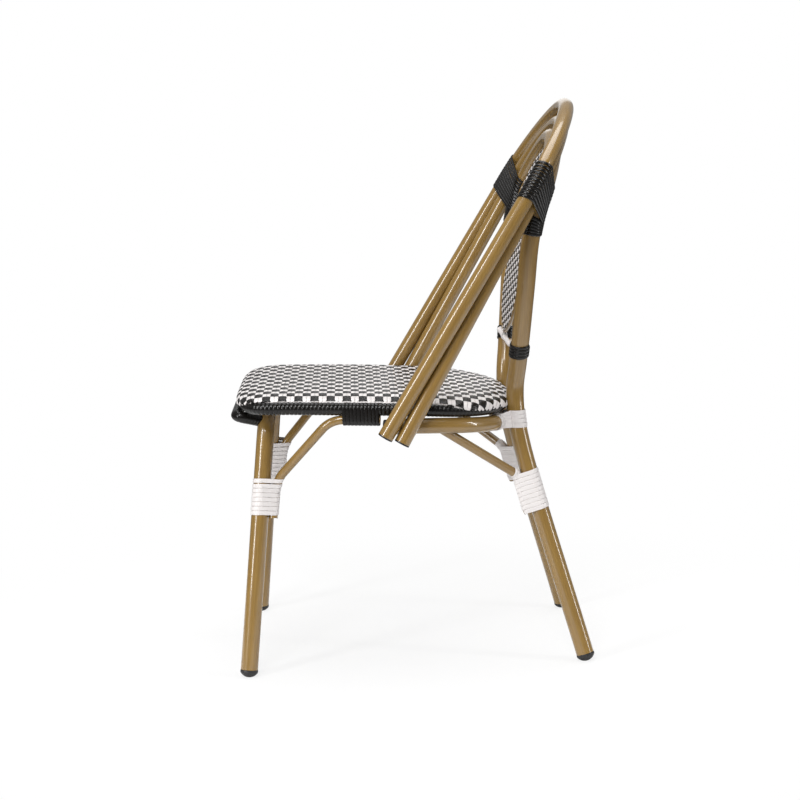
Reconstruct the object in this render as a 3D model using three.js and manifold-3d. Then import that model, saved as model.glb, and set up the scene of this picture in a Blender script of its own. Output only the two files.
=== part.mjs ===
// A bistro side chair: bent aluminium tubes painted like bamboo, with a woven seat and back.
// Millimetres, +Z up. The origin is on the floor under the middle of the chair.
// The sitter faces -Y, and +X is at the sitter's left. A half width is a distance from the middle plane.
import * as THREE from "three";
import { mergeVertices } from "three/addons/utils/BufferGeometryUtils.js";
import Module from "manifold-3d";

const wasm = await Module();
wasm.setup();

// Tubes
const legDiameter = 27;
const rearDiameter = 28;
const hoopDiameter = 24;
const railDiameter = 24;
const ringDiameter = 17;
const frontRailDiameter = 14;
const braceDiameter = 14;
const crossBarDiameter = 6;
const rimDiameter = 5;
const tubeWall = 1.8;

// Clearance between pieces that touch, and how far a cutter runs past what it cuts
const touchGap = 0.35;
const overrun = 4;

// Front legs: an upturned U whose top crosses under the seat
const footHalfWidth = 203;
const frontFootDepth = 265.5;
const rearFootDepth = 267;
const frontTopHalfWidth = 148;
const frontTopSetBack = 38;
const frontTopHeight = 396;
const frontTopBend = 34;

// Rear hoop: rear legs, uprights and back arch in one tube
const rearFootHalfWidth = 167;
const waistHalfWidth = 100;
const waistDepth = 164;
const waistHeight = 430;
const rearSpringHalfWidth = 177;
const rearSpringDepth = 199;
const rearSpringDrop = 142.8;

// Outer brace hoop, in one leaning plane
const outerFootHalfWidth = 239.8;
const outerFootDepth = -45.5;
const outerFootHeight = 376.7;
const outerSpringHalfWidth = 233.5;
const outerApexDepth = 257.2;
const outerApexRise = 446.5;
const outerArchHeight = 147;

// Inner brace hoop, nested in the outer one
const innerFootInset = 3.8;
const innerFootRise = 4.2;
const innerArchHeight = 139;
const nestingEase = 2.3;
const springEase = 2.7;

// Seat ring
const seatHalfWidth = 203.5;
const seatFrontDepth = 264;
const seatCornerDepth = 74;
const seatSideEnd = 10;
const seatRearDepth = 150;
const seatFrontHeight = 421.3;
const seatFall = 19;
const seatCrown = 4.6;
const edgeTurnStart = 20;
const edgeTurnEnd = 90;

// Seat rail, from the outer hoop's foot round the front of the uprights
const railEndDepth = -46;
const railFrontHeight = 389;
const railRearHeight = 378.2;

// Front rail, under the front of the seat ring
const frontRailHalfWidth = 157;
const frontRailSetBack = 2;
const frontRailBend = 15;

// Braces
const frontBraceBendHeight = 300;
const frontBraceBendDepth = -127;
const frontBraceEndDepth = -51;
const frontBraceBend = 22;
const rearBraceBendHeight = 302;
const rearBraceTopDepth = 33;
const rearBraceBend = 9;

// Cross-bar and back panel
const crossBarDepth = 156;
const crossBarRise = 77.2;
const crossBarSetIn = 14;
const crossBarBend = 9;
const crossBarSkin = 1;
const panelBottomRise = 9.5;
const panelBottomDepth = 67;
const panelForward = 10;
const panelThickness = 2.6;

// Strands: a black one, a white strip and the woven sheet
const strandWidth = 4.7;
const strandThickness = 2;
const stripWidth = 6.4;
const stripThickness = 1.4;
const weaveThickness = 1.5;
const bendEase = 1;

// Where the windings start and end: drops are from the outer hoop's apex, or from the cross-bar for the bands
const frontWrapBottom = 244;
const frontWrapTop = 307;
const rearWrapBottom = 236;
const rearWrapTop = 302;
const outerLashingStartDrop = 139.8;
const outerLashingEndDrop = 87.8;
const rearLashingStartDrop = 192.8;
const rearLashingEndDrop = 120.8;
const bandStartDrop = 29.9;
const bandEndDrop = 9.3;
const sideWrapFront = -111;
const sideWrapRear = -49;
const railWrapOuter = 137;
const railWrapInner = 112;

// Counts of turns
const legWrapTurns = 8;
const lashingTurns = 11;
const bandTurns = 4;
const sideWrapTurns = 10;
const railWrapTurns = 3;

// Plugs in the open tube ends
const glideRadius = 16;
const glideSink = 1;
const glideShow = 11;
const glideRim = 0.3;
const plugDepth = 14;
const capThickness = 2.6;
const capRound = 0.8;

// Shares that shape the curves: of the width, depth and height between two ends, in that order
const archShares = { outer: 0.45, inner: 0.48, rear: 0.4 };
const rearLegShares = [
  [0.194, 0.103, 0.767],
  [0.06, 0.01, 0.895],
];
const uprightShares = [
  [0.169, 0.114, 0.136],
  [0.377, 0.229, 0.288],
  [0.649, 0.409, 0.542],
  [0.896, 0.614, 0.814],
];
const railBendShares = [
  [0.053, 0.332],
  [0.223, 0.637],
  [0.508, 0.854],
  [0.867, 0.983],
];
const insetShares = [0.2, 0.55, 0.85];
const slantShare = 1.035;
const cornerShare = 1.06;
const lashingCornerShare = 1.11;
const tailSideShare = 0.3;

// Powers: how square a rounded outline is, and how late a height falls
const seatFrontPower = 4.25;
const seatRearPower = 2.5;
const panelPower = 1.7;
const seatFallPower = 2.2;
const seatCrownPower = 12;
const railFallPower = 2;

// Angles in degrees: how crowns nest, and where weave and binding end round the ring
const innerCrownLean = 16.8;
const rearCrownLean = 28.4;
const rollFront = 75;
const rollRear = 5;
const bindingStart = 87;
const bindingEnd = -195;

// Facets
const mainSides = 12;
const thinSides = 8;
const bendSteps = 4;
const curveSteps = 11;
const archSteps = 8;
const quarterSteps = 7;
const arcSteps = 7;
const rollSteps = 4;
const plugSides = 16;
const wrapSteps = 10;
const lashingSteps = 12;
const sideWrapSteps = 8;

const legRadius = legDiameter / 2;
const rearRadius = rearDiameter / 2;
const hoopRadius = hoopDiameter / 2;
const railRadius = railDiameter / 2;
const ringRadius = ringDiameter / 2;
const frontRailRadius = frontRailDiameter / 2;
const braceRadius = braceDiameter / 2;
const crossBarRadius = crossBarDiameter / 2;
const rimRadius = rimDiameter / 2;
const bindingReach = touchGap + strandThickness;

// Heights that follow the seat's and the hoops'
const outerApexHeight = seatFrontHeight + outerApexRise;
const rearSpringHeight = outerApexHeight - rearSpringDrop;
const crossBarHeight = seatFrontHeight + crossBarRise;
const outerLashingBottom = outerApexHeight - outerLashingStartDrop;
const outerLashingTop = outerApexHeight - outerLashingEndDrop;
const rearLashingBottom = outerApexHeight - rearLashingStartDrop;
const rearLashingTop = outerApexHeight - rearLashingEndDrop;
const bandBottom = crossBarHeight - bandStartDrop;
const bandTop = crossBarHeight - bandEndDrop;

const paint = { color: 0xa88c58, roughness: 0.3, metalness: 0 };
const black = { color: 0x232120, roughness: 0.4, metalness: 0 };
const white = { color: 0xebe4e4, roughness: 0.5, metalness: 0 };
const plastic = { color: 0x1c1b1b, roughness: 0.6, metalness: 0 };

const xAxis = new THREE.Vector3(1, 0, 0);
const yAxis = new THREE.Vector3(0, 1, 0);
const zAxis = new THREE.Vector3(0, 0, 1);
const point = (x, y, z) => new THREE.Vector3(x, y, z);
const along = (p, direction, distance) => p.clone().addScaledVector(direction, distance);
const between = (a, b, share) => a.clone().lerp(b, share);
const directionTo = (a, b) => b.clone().sub(a).normalize();
const cross = (a, b) => new THREE.Vector3().crossVectors(a, b);
const mix = THREE.MathUtils.lerp;
const radians = THREE.MathUtils.degToRad;
const width = (p) => p.x;
const depth = (p) => p.y;
const height = (p) => p.z;
const mirrored = (p) => point(-p.x, p.y, p.z);

// A half route, from its outer end to a last point on the middle plane, made whole
const bothSides = (half) => [...half, ...half.slice(0, -1).reverse().map(mirrored)];

// A half loop between two points on the middle plane, made whole
const loop = (half) => [...half, ...half.slice(1, -1).reverse().map(mirrored)];

// The direction of a route at its point i, halfway between its runs there
function heading(route, i) {
  const here = route[i];
  const ahead = route[i + 1] ?? along(here, directionTo(route[i - 1], here), overrun);
  const behind = route[i - 1] ?? along(here, directionTo(here, ahead), -overrun);
  return directionTo(behind, here).add(directionTo(here, ahead)).normalize();
}

// Where a measure along a route takes a value, and the route's direction there. Past its ends the route runs on.
function crossing(route, measure, value) {
  const last = route.length - 1;
  const passes = (i) => (measure(route[i - 1]) - value) * (measure(route[i]) - value) <= 0;
  const found = route.findIndex((_, i) => i > 0 && passes(i));
  const nearer = Math.abs(measure(route[0]) - value) < Math.abs(measure(route[last]) - value) ? 1 : last;
  const i = found < 0 ? nearer : found;
  const low = measure(route[i - 1]);
  const high = measure(route[i]);
  return {
    centre: between(route[i - 1], route[i], (value - low) / (high - low)),
    direction: directionTo(route[i - 1], route[i]),
  };
}
const at = (route, measure, value) => crossing(route, measure, value).centre;

// Straight runs joined by bends, each bend starting one setback from its corner
function bentRoute(corners, setback) {
  const route = [corners[0]];
  for (let i = 1; i < corners.length - 1; i++) {
    const start = along(corners[i], directionTo(corners[i], corners[i - 1]), setback);
    const end = along(corners[i], directionTo(corners[i], corners[i + 1]), setback);
    route.push(...new THREE.QuadraticBezierCurve3(start, corners[i], end).getPoints(bendSteps));
  }
  route.push(corners[corners.length - 1]);
  return route;
}

// The same route with both ends moved out by a distance, or in where it is negative
function runOn(route, distance) {
  const last = route.length - 1;
  return [
    along(route[0], directionTo(route[1], route[0]), distance),
    ...route.slice(1, last),
    along(route[last], directionTo(route[last - 1], route[last]), distance),
  ];
}

// A route as a curve whose steps fall on the route's own points, few on a straight and many on a bend
class StepCurve extends THREE.Curve {
  constructor(route) {
    super();
    this.route = route;
  }

  getPoint(t) {
    const place = t * (this.route.length - 1);
    const i = Math.min(Math.floor(place), this.route.length - 2);
    return between(this.route[i], this.route[i + 1], place - i);
  }

  getTangent(t) {
    return heading(this.route, Math.round(t * (this.route.length - 1)));
  }

  getUtoTmapping(u) {
    return u;
  }
}

const polygon = (radius, sides) =>
  Array.from({ length: sides }, (_, i) => {
    const angle = ((i + 1 / 2) * 2 * Math.PI) / sides;
    return new THREE.Vector2(radius * Math.cos(angle), radius * Math.sin(angle));
  });

const sweep = (section, route) =>
  new THREE.ExtrudeGeometry(section, {
    steps: route.length - 1,
    bevelEnabled: false,
    extrudePath: new StepCurve(route),
  });

const tube = (route, radius, sides = mainSides) => sweep(new THREE.Shape(polygon(radius, sides)), route);

// A sleeve round a tube, open at both ends, whose flat facets clear the tube's corners
function sleeve(route, inner, outer, sides) {
  const section = new THREE.Shape(polygon(outer, sides));
  section.holes.push(new THREE.Path(polygon(inner / Math.cos(Math.PI / sides), sides)));
  return sweep(section, route);
}

// A row of points laid flat in its own plane, still anticlockwise
function flatten(row) {
  const middle = row.reduce((sum, p) => sum.add(p), point(0, 0, 0)).divideScalar(row.length);
  const arms = row.map((p) => p.clone().sub(middle));
  const normal = arms.reduce((sum, arm, i) => sum.add(cross(arm, arms[(i + 1) % arms.length])), point(0, 0, 0));
  const first = arms[0].clone().normalize();
  const second = cross(normal.normalize(), first);
  return arms.map((arm) => new THREE.Vector2(arm.dot(first), arm.dot(second)));
}

// The closed skin through rows of points. Each row is anticlockwise about the way that the rows run.
function skin(rows, closed = false) {
  const count = rows[0].length;
  const last = (rows.length - 1) * count;
  const index = [];
  for (let i = 0; i < (closed ? rows.length : rows.length - 1); i++) {
    const here = i * count;
    const next = ((i + 1) % rows.length) * count;
    for (let j = 0; j < count; j++) {
      const k = (j + 1) % count;
      index.push(here + j, here + k, next + k, here + j, next + k, next + j);
    }
  }
  if (!closed) {
    for (const [a, b, c] of THREE.ShapeUtils.triangulateShape(flatten(rows[0]), [])) {
      index.push(a, c, b);
    }
    for (const [a, b, c] of THREE.ShapeUtils.triangulateShape(flatten(rows[rows.length - 1]), [])) {
      index.push(last + a, last + b, last + c);
    }
  }
  const geometry = new THREE.BufferGeometry();
  const positions = rows.flat().flatMap((p) => [p.x, p.y, p.z]);
  geometry.setAttribute("position", new THREE.Float32BufferAttribute(positions, 3));
  geometry.setIndex(index);
  geometry.computeVertexNormals();
  return geometry;
}

// Booleans
function toSolid(geometry) {
  const bare = geometry.clone();
  bare.deleteAttribute("normal");
  bare.deleteAttribute("uv");
  const merged = mergeVertices(bare, 1e-4);
  return new wasm.Manifold(
    new wasm.Mesh({
      numProp: 3,
      vertProperties: merged.attributes.position.array,
      triVerts: new Uint32Array(merged.index.array),
    }),
  );
}

function toGeometry(solid) {
  const mesh = solid.getMesh();
  const geometry = new THREE.BufferGeometry();
  geometry.setAttribute("position", new THREE.BufferAttribute(mesh.vertProperties, 3));
  geometry.setIndex(new THREE.BufferAttribute(mesh.triVerts, 1));
  geometry.computeVertexNormals();
  return geometry;
}

const cut = (geometry, ...cutters) =>
  toGeometry(cutters.reduce((solid, cutter) => solid.subtract(toSolid(cutter)), toSolid(geometry)));

const group = new THREE.Group();

function add(name, geometry, look) {
  const mesh = new THREE.Mesh(geometry, new THREE.MeshStandardMaterial(look));
  mesh.name = name;
  group.add(mesh);
  return mesh;
}

// A piece on the sitter's left and its mirror image on the right
function addPair(name, geometry, look) {
  add(`${name}_left`, geometry, look);
  add(`${name}_right`, geometry, look).scale.x = -1;
}

// Plugs: a turned piece whose stem fills a blind bore in the tube's end
const boreRadius = (tubeRadius) => tubeRadius - tubeWall;

function endBores(route, tubeRadius) {
  return [route, [...route].reverse()].map(([end, next]) => {
    const inward = directionTo(end, next);
    const bore = [along(end, inward, -overrun), along(end, inward, plugDepth + touchGap)];
    return tube(bore, boreRadius(tubeRadius));
  });
}

function turned(profile, place, axis) {
  const geometry = new THREE.LatheGeometry(profile.map(([r, y]) => new THREE.Vector2(r, y)), plugSides);
  geometry.applyQuaternion(new THREE.Quaternion().setFromUnitVectors(yAxis, axis));
  return geometry.translate(place.x, place.y, place.z);
}

function endCap(face, inward, tubeRadius) {
  const stem = (boreRadius(tubeRadius) - touchGap) * Math.cos(Math.PI / mainSides);
  const profile = [
    [0, 0],
    [tubeRadius - capRound, 0],
    [tubeRadius, capRound],
    [tubeRadius, capThickness],
    [stem, capThickness],
    [stem, capThickness + plugDepth],
    [0, capThickness + plugDepth],
  ];
  return turned(profile, face, inward);
}

// A glide: a ball foot on the leg's axis, cut flat where it stands on the floor
const legEnd = (foot, up) => along(foot, up, glideShow / up.z + touchGap);

function glide(foot, up, tubeRadius) {
  const rim = tubeRadius + glideRim;
  const stem = (boreRadius(tubeRadius) - touchGap) * Math.cos(Math.PI / mainSides);
  const shoulder = (glideShow + glideSink - glideRadius) / up.z;
  const ball = Array.from({ length: arcSteps + 1 }, (_, i) => {
    const r = (rim * i) / arcSteps;
    return [r, -Math.sqrt(glideRadius ** 2 - r ** 2)];
  });
  const top = shoulder + plugDepth;
  const profile = [...ball, [rim, shoulder], [stem, shoulder], [stem, top], [0, top]];
  const centre = along(foot, up, (glideRadius - glideSink) / up.z);
  const floor = new THREE.BoxGeometry(rim * 4, rim * 4, overrun).translate(foot.x, foot.y, -overrun / 2);
  return cut(turned(profile, centre, up), floor);
}

// Front leg frame
const frontFoot = point(footHalfWidth, -frontFootDepth, 0);
const frontCorner = point(frontTopHalfWidth, frontTopSetBack - frontFootDepth, frontTopHeight);
const frontUp = directionTo(frontFoot, frontCorner);
const frontMiddle = point(0, frontCorner.y, frontCorner.z);
const frontHalf = bentRoute([legEnd(frontFoot, frontUp), frontCorner, frontMiddle], frontTopBend);
const frontRoute = bothSides(frontHalf);
const frontClear = tube(frontRoute, legRadius + touchGap);
add("front_leg_frame", cut(tube(frontRoute, legRadius), ...endBores(frontRoute, legRadius)), paint);
addPair("front_glide", glide(frontFoot, frontUp, legRadius), plastic);

// Brace hoops: straight legs under half an arch, all in one plane
function hoopHalf(foot, apex, springHalfWidth, archHeight, archShare) {
  const down = directionTo(apex, point(0, foot.y, foot.z));
  const place = (halfWidth, distance) => along(point(halfWidth, apex.y, apex.z), down, distance);
  const arch = new THREE.CubicBezierCurve3(
    place(springHalfWidth, archHeight),
    place(springHalfWidth, archHeight * (1 - archShare)),
    place(springHalfWidth * archShare, 0),
    apex,
  );
  return [foot, ...arch.getPoints(archSteps)];
}

// A crown nested under another, at a lean from straight below
const nestedCrown = (apex, spacing, lean) =>
  point(0, apex.y - spacing * Math.sin(radians(lean)), apex.z - spacing * Math.cos(radians(lean)));

const hoopSpacing = hoopDiameter + touchGap;
const outerFoot = point(outerFootHalfWidth, outerFootDepth, outerFootHeight);
const outerApex = point(0, outerApexDepth, outerApexHeight);
const hoopRise = directionTo(point(0, outerFoot.y, outerFoot.z), outerApex);
const hoopFacing = cross(xAxis, hoopRise);
const innerFoot = along(along(outerFoot, hoopFacing, -hoopSpacing - nestingEase), hoopRise, innerFootRise);
innerFoot.x -= innerFootInset;
const innerApex = nestedCrown(outerApex, hoopSpacing + springEase, innerCrownLean);
const innerSpring = outerSpringHalfWidth - hoopSpacing - springEase;
const outerHalf = hoopHalf(outerFoot, outerApex, outerSpringHalfWidth, outerArchHeight, archShares.outer);
const innerHalf = hoopHalf(innerFoot, innerApex, innerSpring, innerArchHeight, archShares.inner);

for (const [name, half] of [["outer", outerHalf], ["inner", innerHalf]]) {
  const route = runOn(bothSides(half), -capThickness - touchGap);
  add(`${name}_brace_hoop`, cut(tube(route, hoopRadius), ...endBores(route, hoopRadius)), paint);
  addPair(`${name}_hoop_cap`, endCap(half[0], directionTo(half[0], half[1]), hoopRadius), plastic);
}

// Rear hoop
const rearFoot = point(rearFootHalfWidth, rearFootDepth, 0);
const waist = point(waistHalfWidth, waistDepth, waistHeight);
const rearSpring = point(rearSpringHalfWidth, rearSpringDepth, rearSpringHeight);
const rearApex = nestedCrown(innerApex, hoopRadius + rearRadius + touchGap + touchGap, rearCrownLean);
const legPoints = rearLegShares.map(([x, y, z]) =>
  point(mix(waist.x, rearFoot.x, x), mix(waist.y, rearFoot.y, y), mix(rearFoot.z, waist.z, z)),
);
const uprightPoints = uprightShares.map(([x, y, z]) =>
  point(mix(waist.x, rearSpring.x, x), mix(waist.y, rearSpring.y, y), mix(waist.z, rearSpring.z, z)),
);
const rearCurve = new THREE.CatmullRomCurve3([...legPoints, waist, ...uprightPoints, rearSpring]);
const archFoot = point(rearSpring.x, rearApex.y, rearApex.z);
const rearRise = directionTo(rearSpring, archFoot);
const rearArch = new THREE.CubicBezierCurve3(
  rearSpring,
  between(rearSpring, archFoot, archShares.rear),
  point(rearSpring.x * archShares.rear, rearApex.y, rearApex.z),
  rearApex,
);
const rearUp = directionTo(rearFoot, legPoints[0]);
const rearHalf = [
  legEnd(rearFoot, rearUp),
  ...rearCurve.getPoints(curveSteps),
  ...rearArch.getPoints(archSteps).slice(1),
];
const rearRoute = bothSides(rearHalf);
const rearClear = tube(rearRoute, rearRadius + touchGap);
add("rear_hoop", cut(tube(rearRoute, rearRadius), ...endBores(rearRoute, rearRadius)), paint);
addPair("rear_glide", glide(rearFoot, rearUp, rearRadius), plastic);

// Seat ring: a square front with round corners, straight sides and a rounder rear
const seatDepth = seatFrontDepth + seatRearDepth;
const seatHeight = (y) => seatFrontHeight - seatFall * (Math.max(y + seatFrontDepth, 0) / seatDepth) ** seatFallPower;

function roundedQuarter(middle, reach, power) {
  return Array.from({ length: quarterSteps + 1 }, (_, i) => {
    const angle = (i * Math.PI) / 2 / quarterSteps;
    const y = middle + reach * Math.cos(angle) ** (2 / power);
    return point(seatHalfWidth * Math.sin(angle) ** (2 / power), y, seatHeight(y));
  });
}

const frontQuarter = roundedQuarter(seatCornerDepth - seatFrontDepth, -seatCornerDepth, seatFrontPower);
const rearQuarter = roundedQuarter(seatSideEnd, seatRearDepth - seatSideEnd, seatRearPower).reverse();
const sideStations = [sideWrapFront, sideWrapRear].map((y) => point(seatHalfWidth, y, seatHeight(y)));
for (const end of [frontQuarter[0], rearQuarter[quarterSteps]]) end.x = 0;
const ringHalf = [...frontQuarter, ...sideStations, ...rearQuarter];
const ringRoute = loop(ringHalf);
const ringOutwards = ringRoute.map((_, i) => {
  const before = ringRoute[(i + ringRoute.length - 1) % ringRoute.length];
  const after = ringRoute[(i + 1) % ringRoute.length];
  return cross(directionTo(before, after), zAxis).normalize();
});

// A point round the ring's tube: 0 degrees is outward and 90 is up
function roundRing(i, degrees, radius) {
  const outward = along(ringRoute[i], ringOutwards[i], radius * Math.cos(radians(degrees)));
  return along(outward, zAxis, radius * Math.sin(radians(degrees)));
}

const ringSection = (i) =>
  Array.from({ length: mainSides }, (_, j) => roundRing(i, (-j * 360) / mainSides, ringRadius));
add("seat_ring", skin(ringRoute.map((_, i) => ringSection(i)), true), paint);

// Woven seat: a taut sheet, slightly crowned, that rolls over the ring, further over it at the rear
const seatCentreDepth = (seatRearDepth - seatFrontDepth) / 2;
const rollAngle = (y) => mix(rollFront, rollRear, THREE.MathUtils.smoothstep(y, edgeTurnStart, edgeTurnEnd));
const weaveInner = (ringRadius + bindingReach) * cornerShare + touchGap;

function weaveLoops(radius) {
  const flat = insetShares.map((share) =>
    ringRoute.map((station) => {
      const y = mix(seatCentreDepth, station.y, share);
      return point(station.x * share, y, seatHeight(y) + radius + seatCrown * (1 - share ** seatCrownPower));
    }),
  );
  const rolled = Array.from({ length: rollSteps + 1 }, (_, k) =>
    ringRoute.map((station, i) => roundRing(i, mix(90, rollAngle(station.y), k / rollSteps), radius)),
  );
  return [...flat, ...rolled];
}

const weaveRows = [...weaveLoops(weaveInner), ...weaveLoops(weaveInner + weaveThickness).reverse()];
add("seat_weave", cut(skin(weaveRows), rearClear), black);

// Edge binding: a close winding round the ring's outside and underside, left open over its top
const bindingStep = (bindingStart - bindingEnd) / arcSteps;
const bindingInner = (ringRadius + touchGap) / Math.cos(radians(bindingStep / 2));

function bindingSection(i) {
  const arc = (radius) =>
    Array.from({ length: arcSteps + 1 }, (_, j) => roundRing(i, bindingStart - j * bindingStep, radius));
  return [...arc(ringRadius + bindingReach), ...arc(bindingInner).reverse()];
}

// The ring's stations from one number to another, counted on past the last
const stations = (from, to) =>
  Array.from({ length: to - from + 1 }, (_, k) => (from + k + ringRoute.length) % ringRoute.length);
const frontEnd = frontQuarter.length;
const rearEnd = frontEnd + 1;
add("seat_front_binding", skin(stations(-frontEnd, frontEnd).map(bindingSection)), black);
const rearBinding = skin(stations(rearEnd, ringRoute.length - rearEnd).map(bindingSection));
add("seat_rear_binding", cut(rearBinding, rearClear), black);

// Front rail: bound in black under the ring, its ends bent back to the legs
const underRing = ringRadius + bindingReach + touchGap;
const frontRailDepth = frontRailSetBack - seatFrontDepth;
const frontRailHeight = seatFrontHeight - underRing - bindingReach - frontRailRadius;
const frontRailHalf = bentRoute(
  [
    at(frontHalf, height, frontRailHeight - legRadius),
    point(frontRailHalfWidth, frontRailDepth, frontRailHeight),
    point(0, frontRailDepth, frontRailHeight),
  ],
  frontRailBend,
);
const frontRailRoute = bothSides(frontRailHalf);
const frontRailBinding = sleeve(
  runOn(frontRailRoute, -legRadius - touchGap),
  frontRailRadius + touchGap,
  frontRailRadius + bindingReach,
  mainSides,
);
add("front_rail", cut(tube(frontRailRoute, frontRailRadius), frontClear), paint);
add("front_rail_binding", cut(frontRailBinding, frontClear), black);

// Seat rail: it lies inside both brace hoops and in front of the uprights
const sideSpacing = (hoopRadius + railRadius + touchGap) * slantShare;
const rearSpacing = (rearRadius + railRadius + touchGap) * slantShare;
const outerContact = at(outerHalf, height, railFrontHeight);
const innerContact = at(innerHalf, height, railFrontHeight);
const rearContact = at(rearHalf, height, railRearHeight);
const railStart = point(outerContact.x - sideSpacing, outerContact.y, railFrontHeight);
const railTurn = point(innerContact.x - sideSpacing, innerContact.y, railFrontHeight);
const railBack = point(rearContact.x, rearContact.y - rearSpacing, railRearHeight);
const railBends = railBendShares.map(([x, y]) => {
  const z = mix(railTurn.z, railBack.z, y ** railFallPower);
  return point(mix(railTurn.x, railBack.x, x), mix(railTurn.y, railBack.y, y), z);
});
const railCurve = new THREE.CatmullRomCurve3([railStart, railTurn, ...railBends, railBack]);
const railFace = along(railStart, directionTo(railTurn, railStart), railStart.y - railEndDepth);
const railHalf = [railFace, ...railCurve.getPoints(curveSteps), point(0, railBack.y, railBack.z)];
const railRoute = runOn(bothSides(railHalf), -capThickness - touchGap);
add("seat_rail", cut(tube(railRoute, railRadius), ...endBores(railRoute, railRadius)), paint);
addPair("seat_rail_cap", endCap(railFace, directionTo(railFace, railHalf[1]), railRadius), plastic);

// Front braces: from behind the front legs up to a run under the ring's side
const underSide = (y) => point(seatHalfWidth, y, seatHeight(y) - underRing - braceRadius);
const legSpacing = (legRadius + braceRadius + touchGap) / Math.hypot(frontUp.x, frontUp.z);
const behindLeg = (z) => along(at(frontHalf, height, z), yAxis, legSpacing);
const frontBraceRoute = bentRoute(
  [
    behindLeg(frontWrapBottom),
    behindLeg(frontBraceBendHeight),
    underSide(frontBraceBendDepth),
    underSide(frontBraceEndDepth),
  ],
  frontBraceBend,
);
addPair("front_brace", tube(frontBraceRoute, braceRadius, thinSides), paint);

// Rear braces: from the outer front of the rear legs up to the underside of the seat rail
const tailSide = point(tailSideShare, -Math.sqrt(1 - tailSideShare ** 2), 0);
const tailOutward = along(tailSide, rearUp, -tailSide.dot(rearUp)).normalize();
const besideLeg = (z) => along(at(rearHalf, height, z), tailOutward, rearRadius + braceRadius + touchGap);
const rearBraceRoute = bentRoute(
  [besideLeg(rearWrapBottom), besideLeg(rearBraceBendHeight), at(railHalf, depth, rearBraceTopDepth)],
  rearBraceBend,
);
const railClear = tube(railHalf, railRadius + touchGap);
addPair("rear_brace", cut(tube(rearBraceRoute, braceRadius, thinSides), railClear), paint);

// Cross-bar between the uprights, with its ends bent back to them
const barEnd = at(rearHalf, height, crossBarHeight);
const barCorner = point(barEnd.x - crossBarSetIn, crossBarDepth, crossBarHeight);
const barHalf = bentRoute([barEnd, barCorner, point(0, crossBarDepth, crossBarHeight)], crossBarBend);
const barRoute = bothSides(barHalf);
const barBinding = sleeve(
  barRoute,
  crossBarRadius + touchGap,
  crossBarRadius + touchGap + crossBarSkin,
  thinSides,
);
add("cross_bar", cut(tube(barRoute, crossBarRadius, thinSides), rearClear), paint);
add("cross_bar_binding", cut(barBinding, rearClear), white);

// Back panel's rim: a U below, then a line inside the rear hoop
const backFacing = cross(xAxis, directionTo(point(0, waist.y, waist.z), rearApex));
const rimSpacing = (rearRadius + bindingReach) * lashingCornerShare + touchGap + rimRadius;
const inwards = (route, i) => cross(backFacing, heading(route, i)).normalize();
const panelBottom = point(0, crossBarDepth, crossBarHeight + panelBottomRise);
const sideContact = at(rearHalf, height, panelBottom.z + panelBottomDepth);
const panelSide = point(sideContact.x - rimSpacing, sideContact.y - panelForward, sideContact.z);
const panelLower = Array.from({ length: quarterSteps }, (_, i) => {
  const angle = (i * Math.PI) / 2 / quarterSteps;
  const rise = 1 - Math.cos(angle) ** (2 / panelPower);
  const x = panelSide.x * Math.sin(angle) ** (2 / panelPower);
  return point(x, mix(panelBottom.y, panelSide.y, rise), mix(panelBottom.z, panelSide.z, rise));
});
const panelUpper = rearHalf
  .map((p, i) => along(p, inwards(rearHalf, i), rimSpacing))
  .filter((_, i) => rearHalf[i].z > panelSide.z + panelBottomDepth && i < rearHalf.length - 1);
const panelTop = along(rearApex, rearRise, -rimSpacing);
const rimHalf = [...panelLower, panelSide, ...panelUpper, panelTop];
const rimRoute = loop(rimHalf);
const rimSections = rimRoute.map((p, i) => {
  const before = rimRoute[(i + rimRoute.length - 1) % rimRoute.length];
  const after = rimRoute[(i + 1) % rimRoute.length];
  const inward = cross(backFacing, directionTo(before, after)).normalize();
  return polygon(rimRadius, thinSides).map(({ x, y }) => along(along(p, inward, x), backFacing, y));
});
add("back_rim", skin(rimSections, true), paint);

// Woven back: a thin sheet inside the rim
const panelRows = rimHalf.slice(1, -1).map((p, i) => {
  const edge = along(p, inwards(rimHalf, i + 1), rimRadius + touchGap);
  const front = along(edge, backFacing, panelThickness / 2);
  const back = along(edge, backFacing, -panelThickness / 2);
  return [mirrored(front), front, back, mirrored(back)];
});
add("back_weave", skin(panelRows), white);

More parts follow.
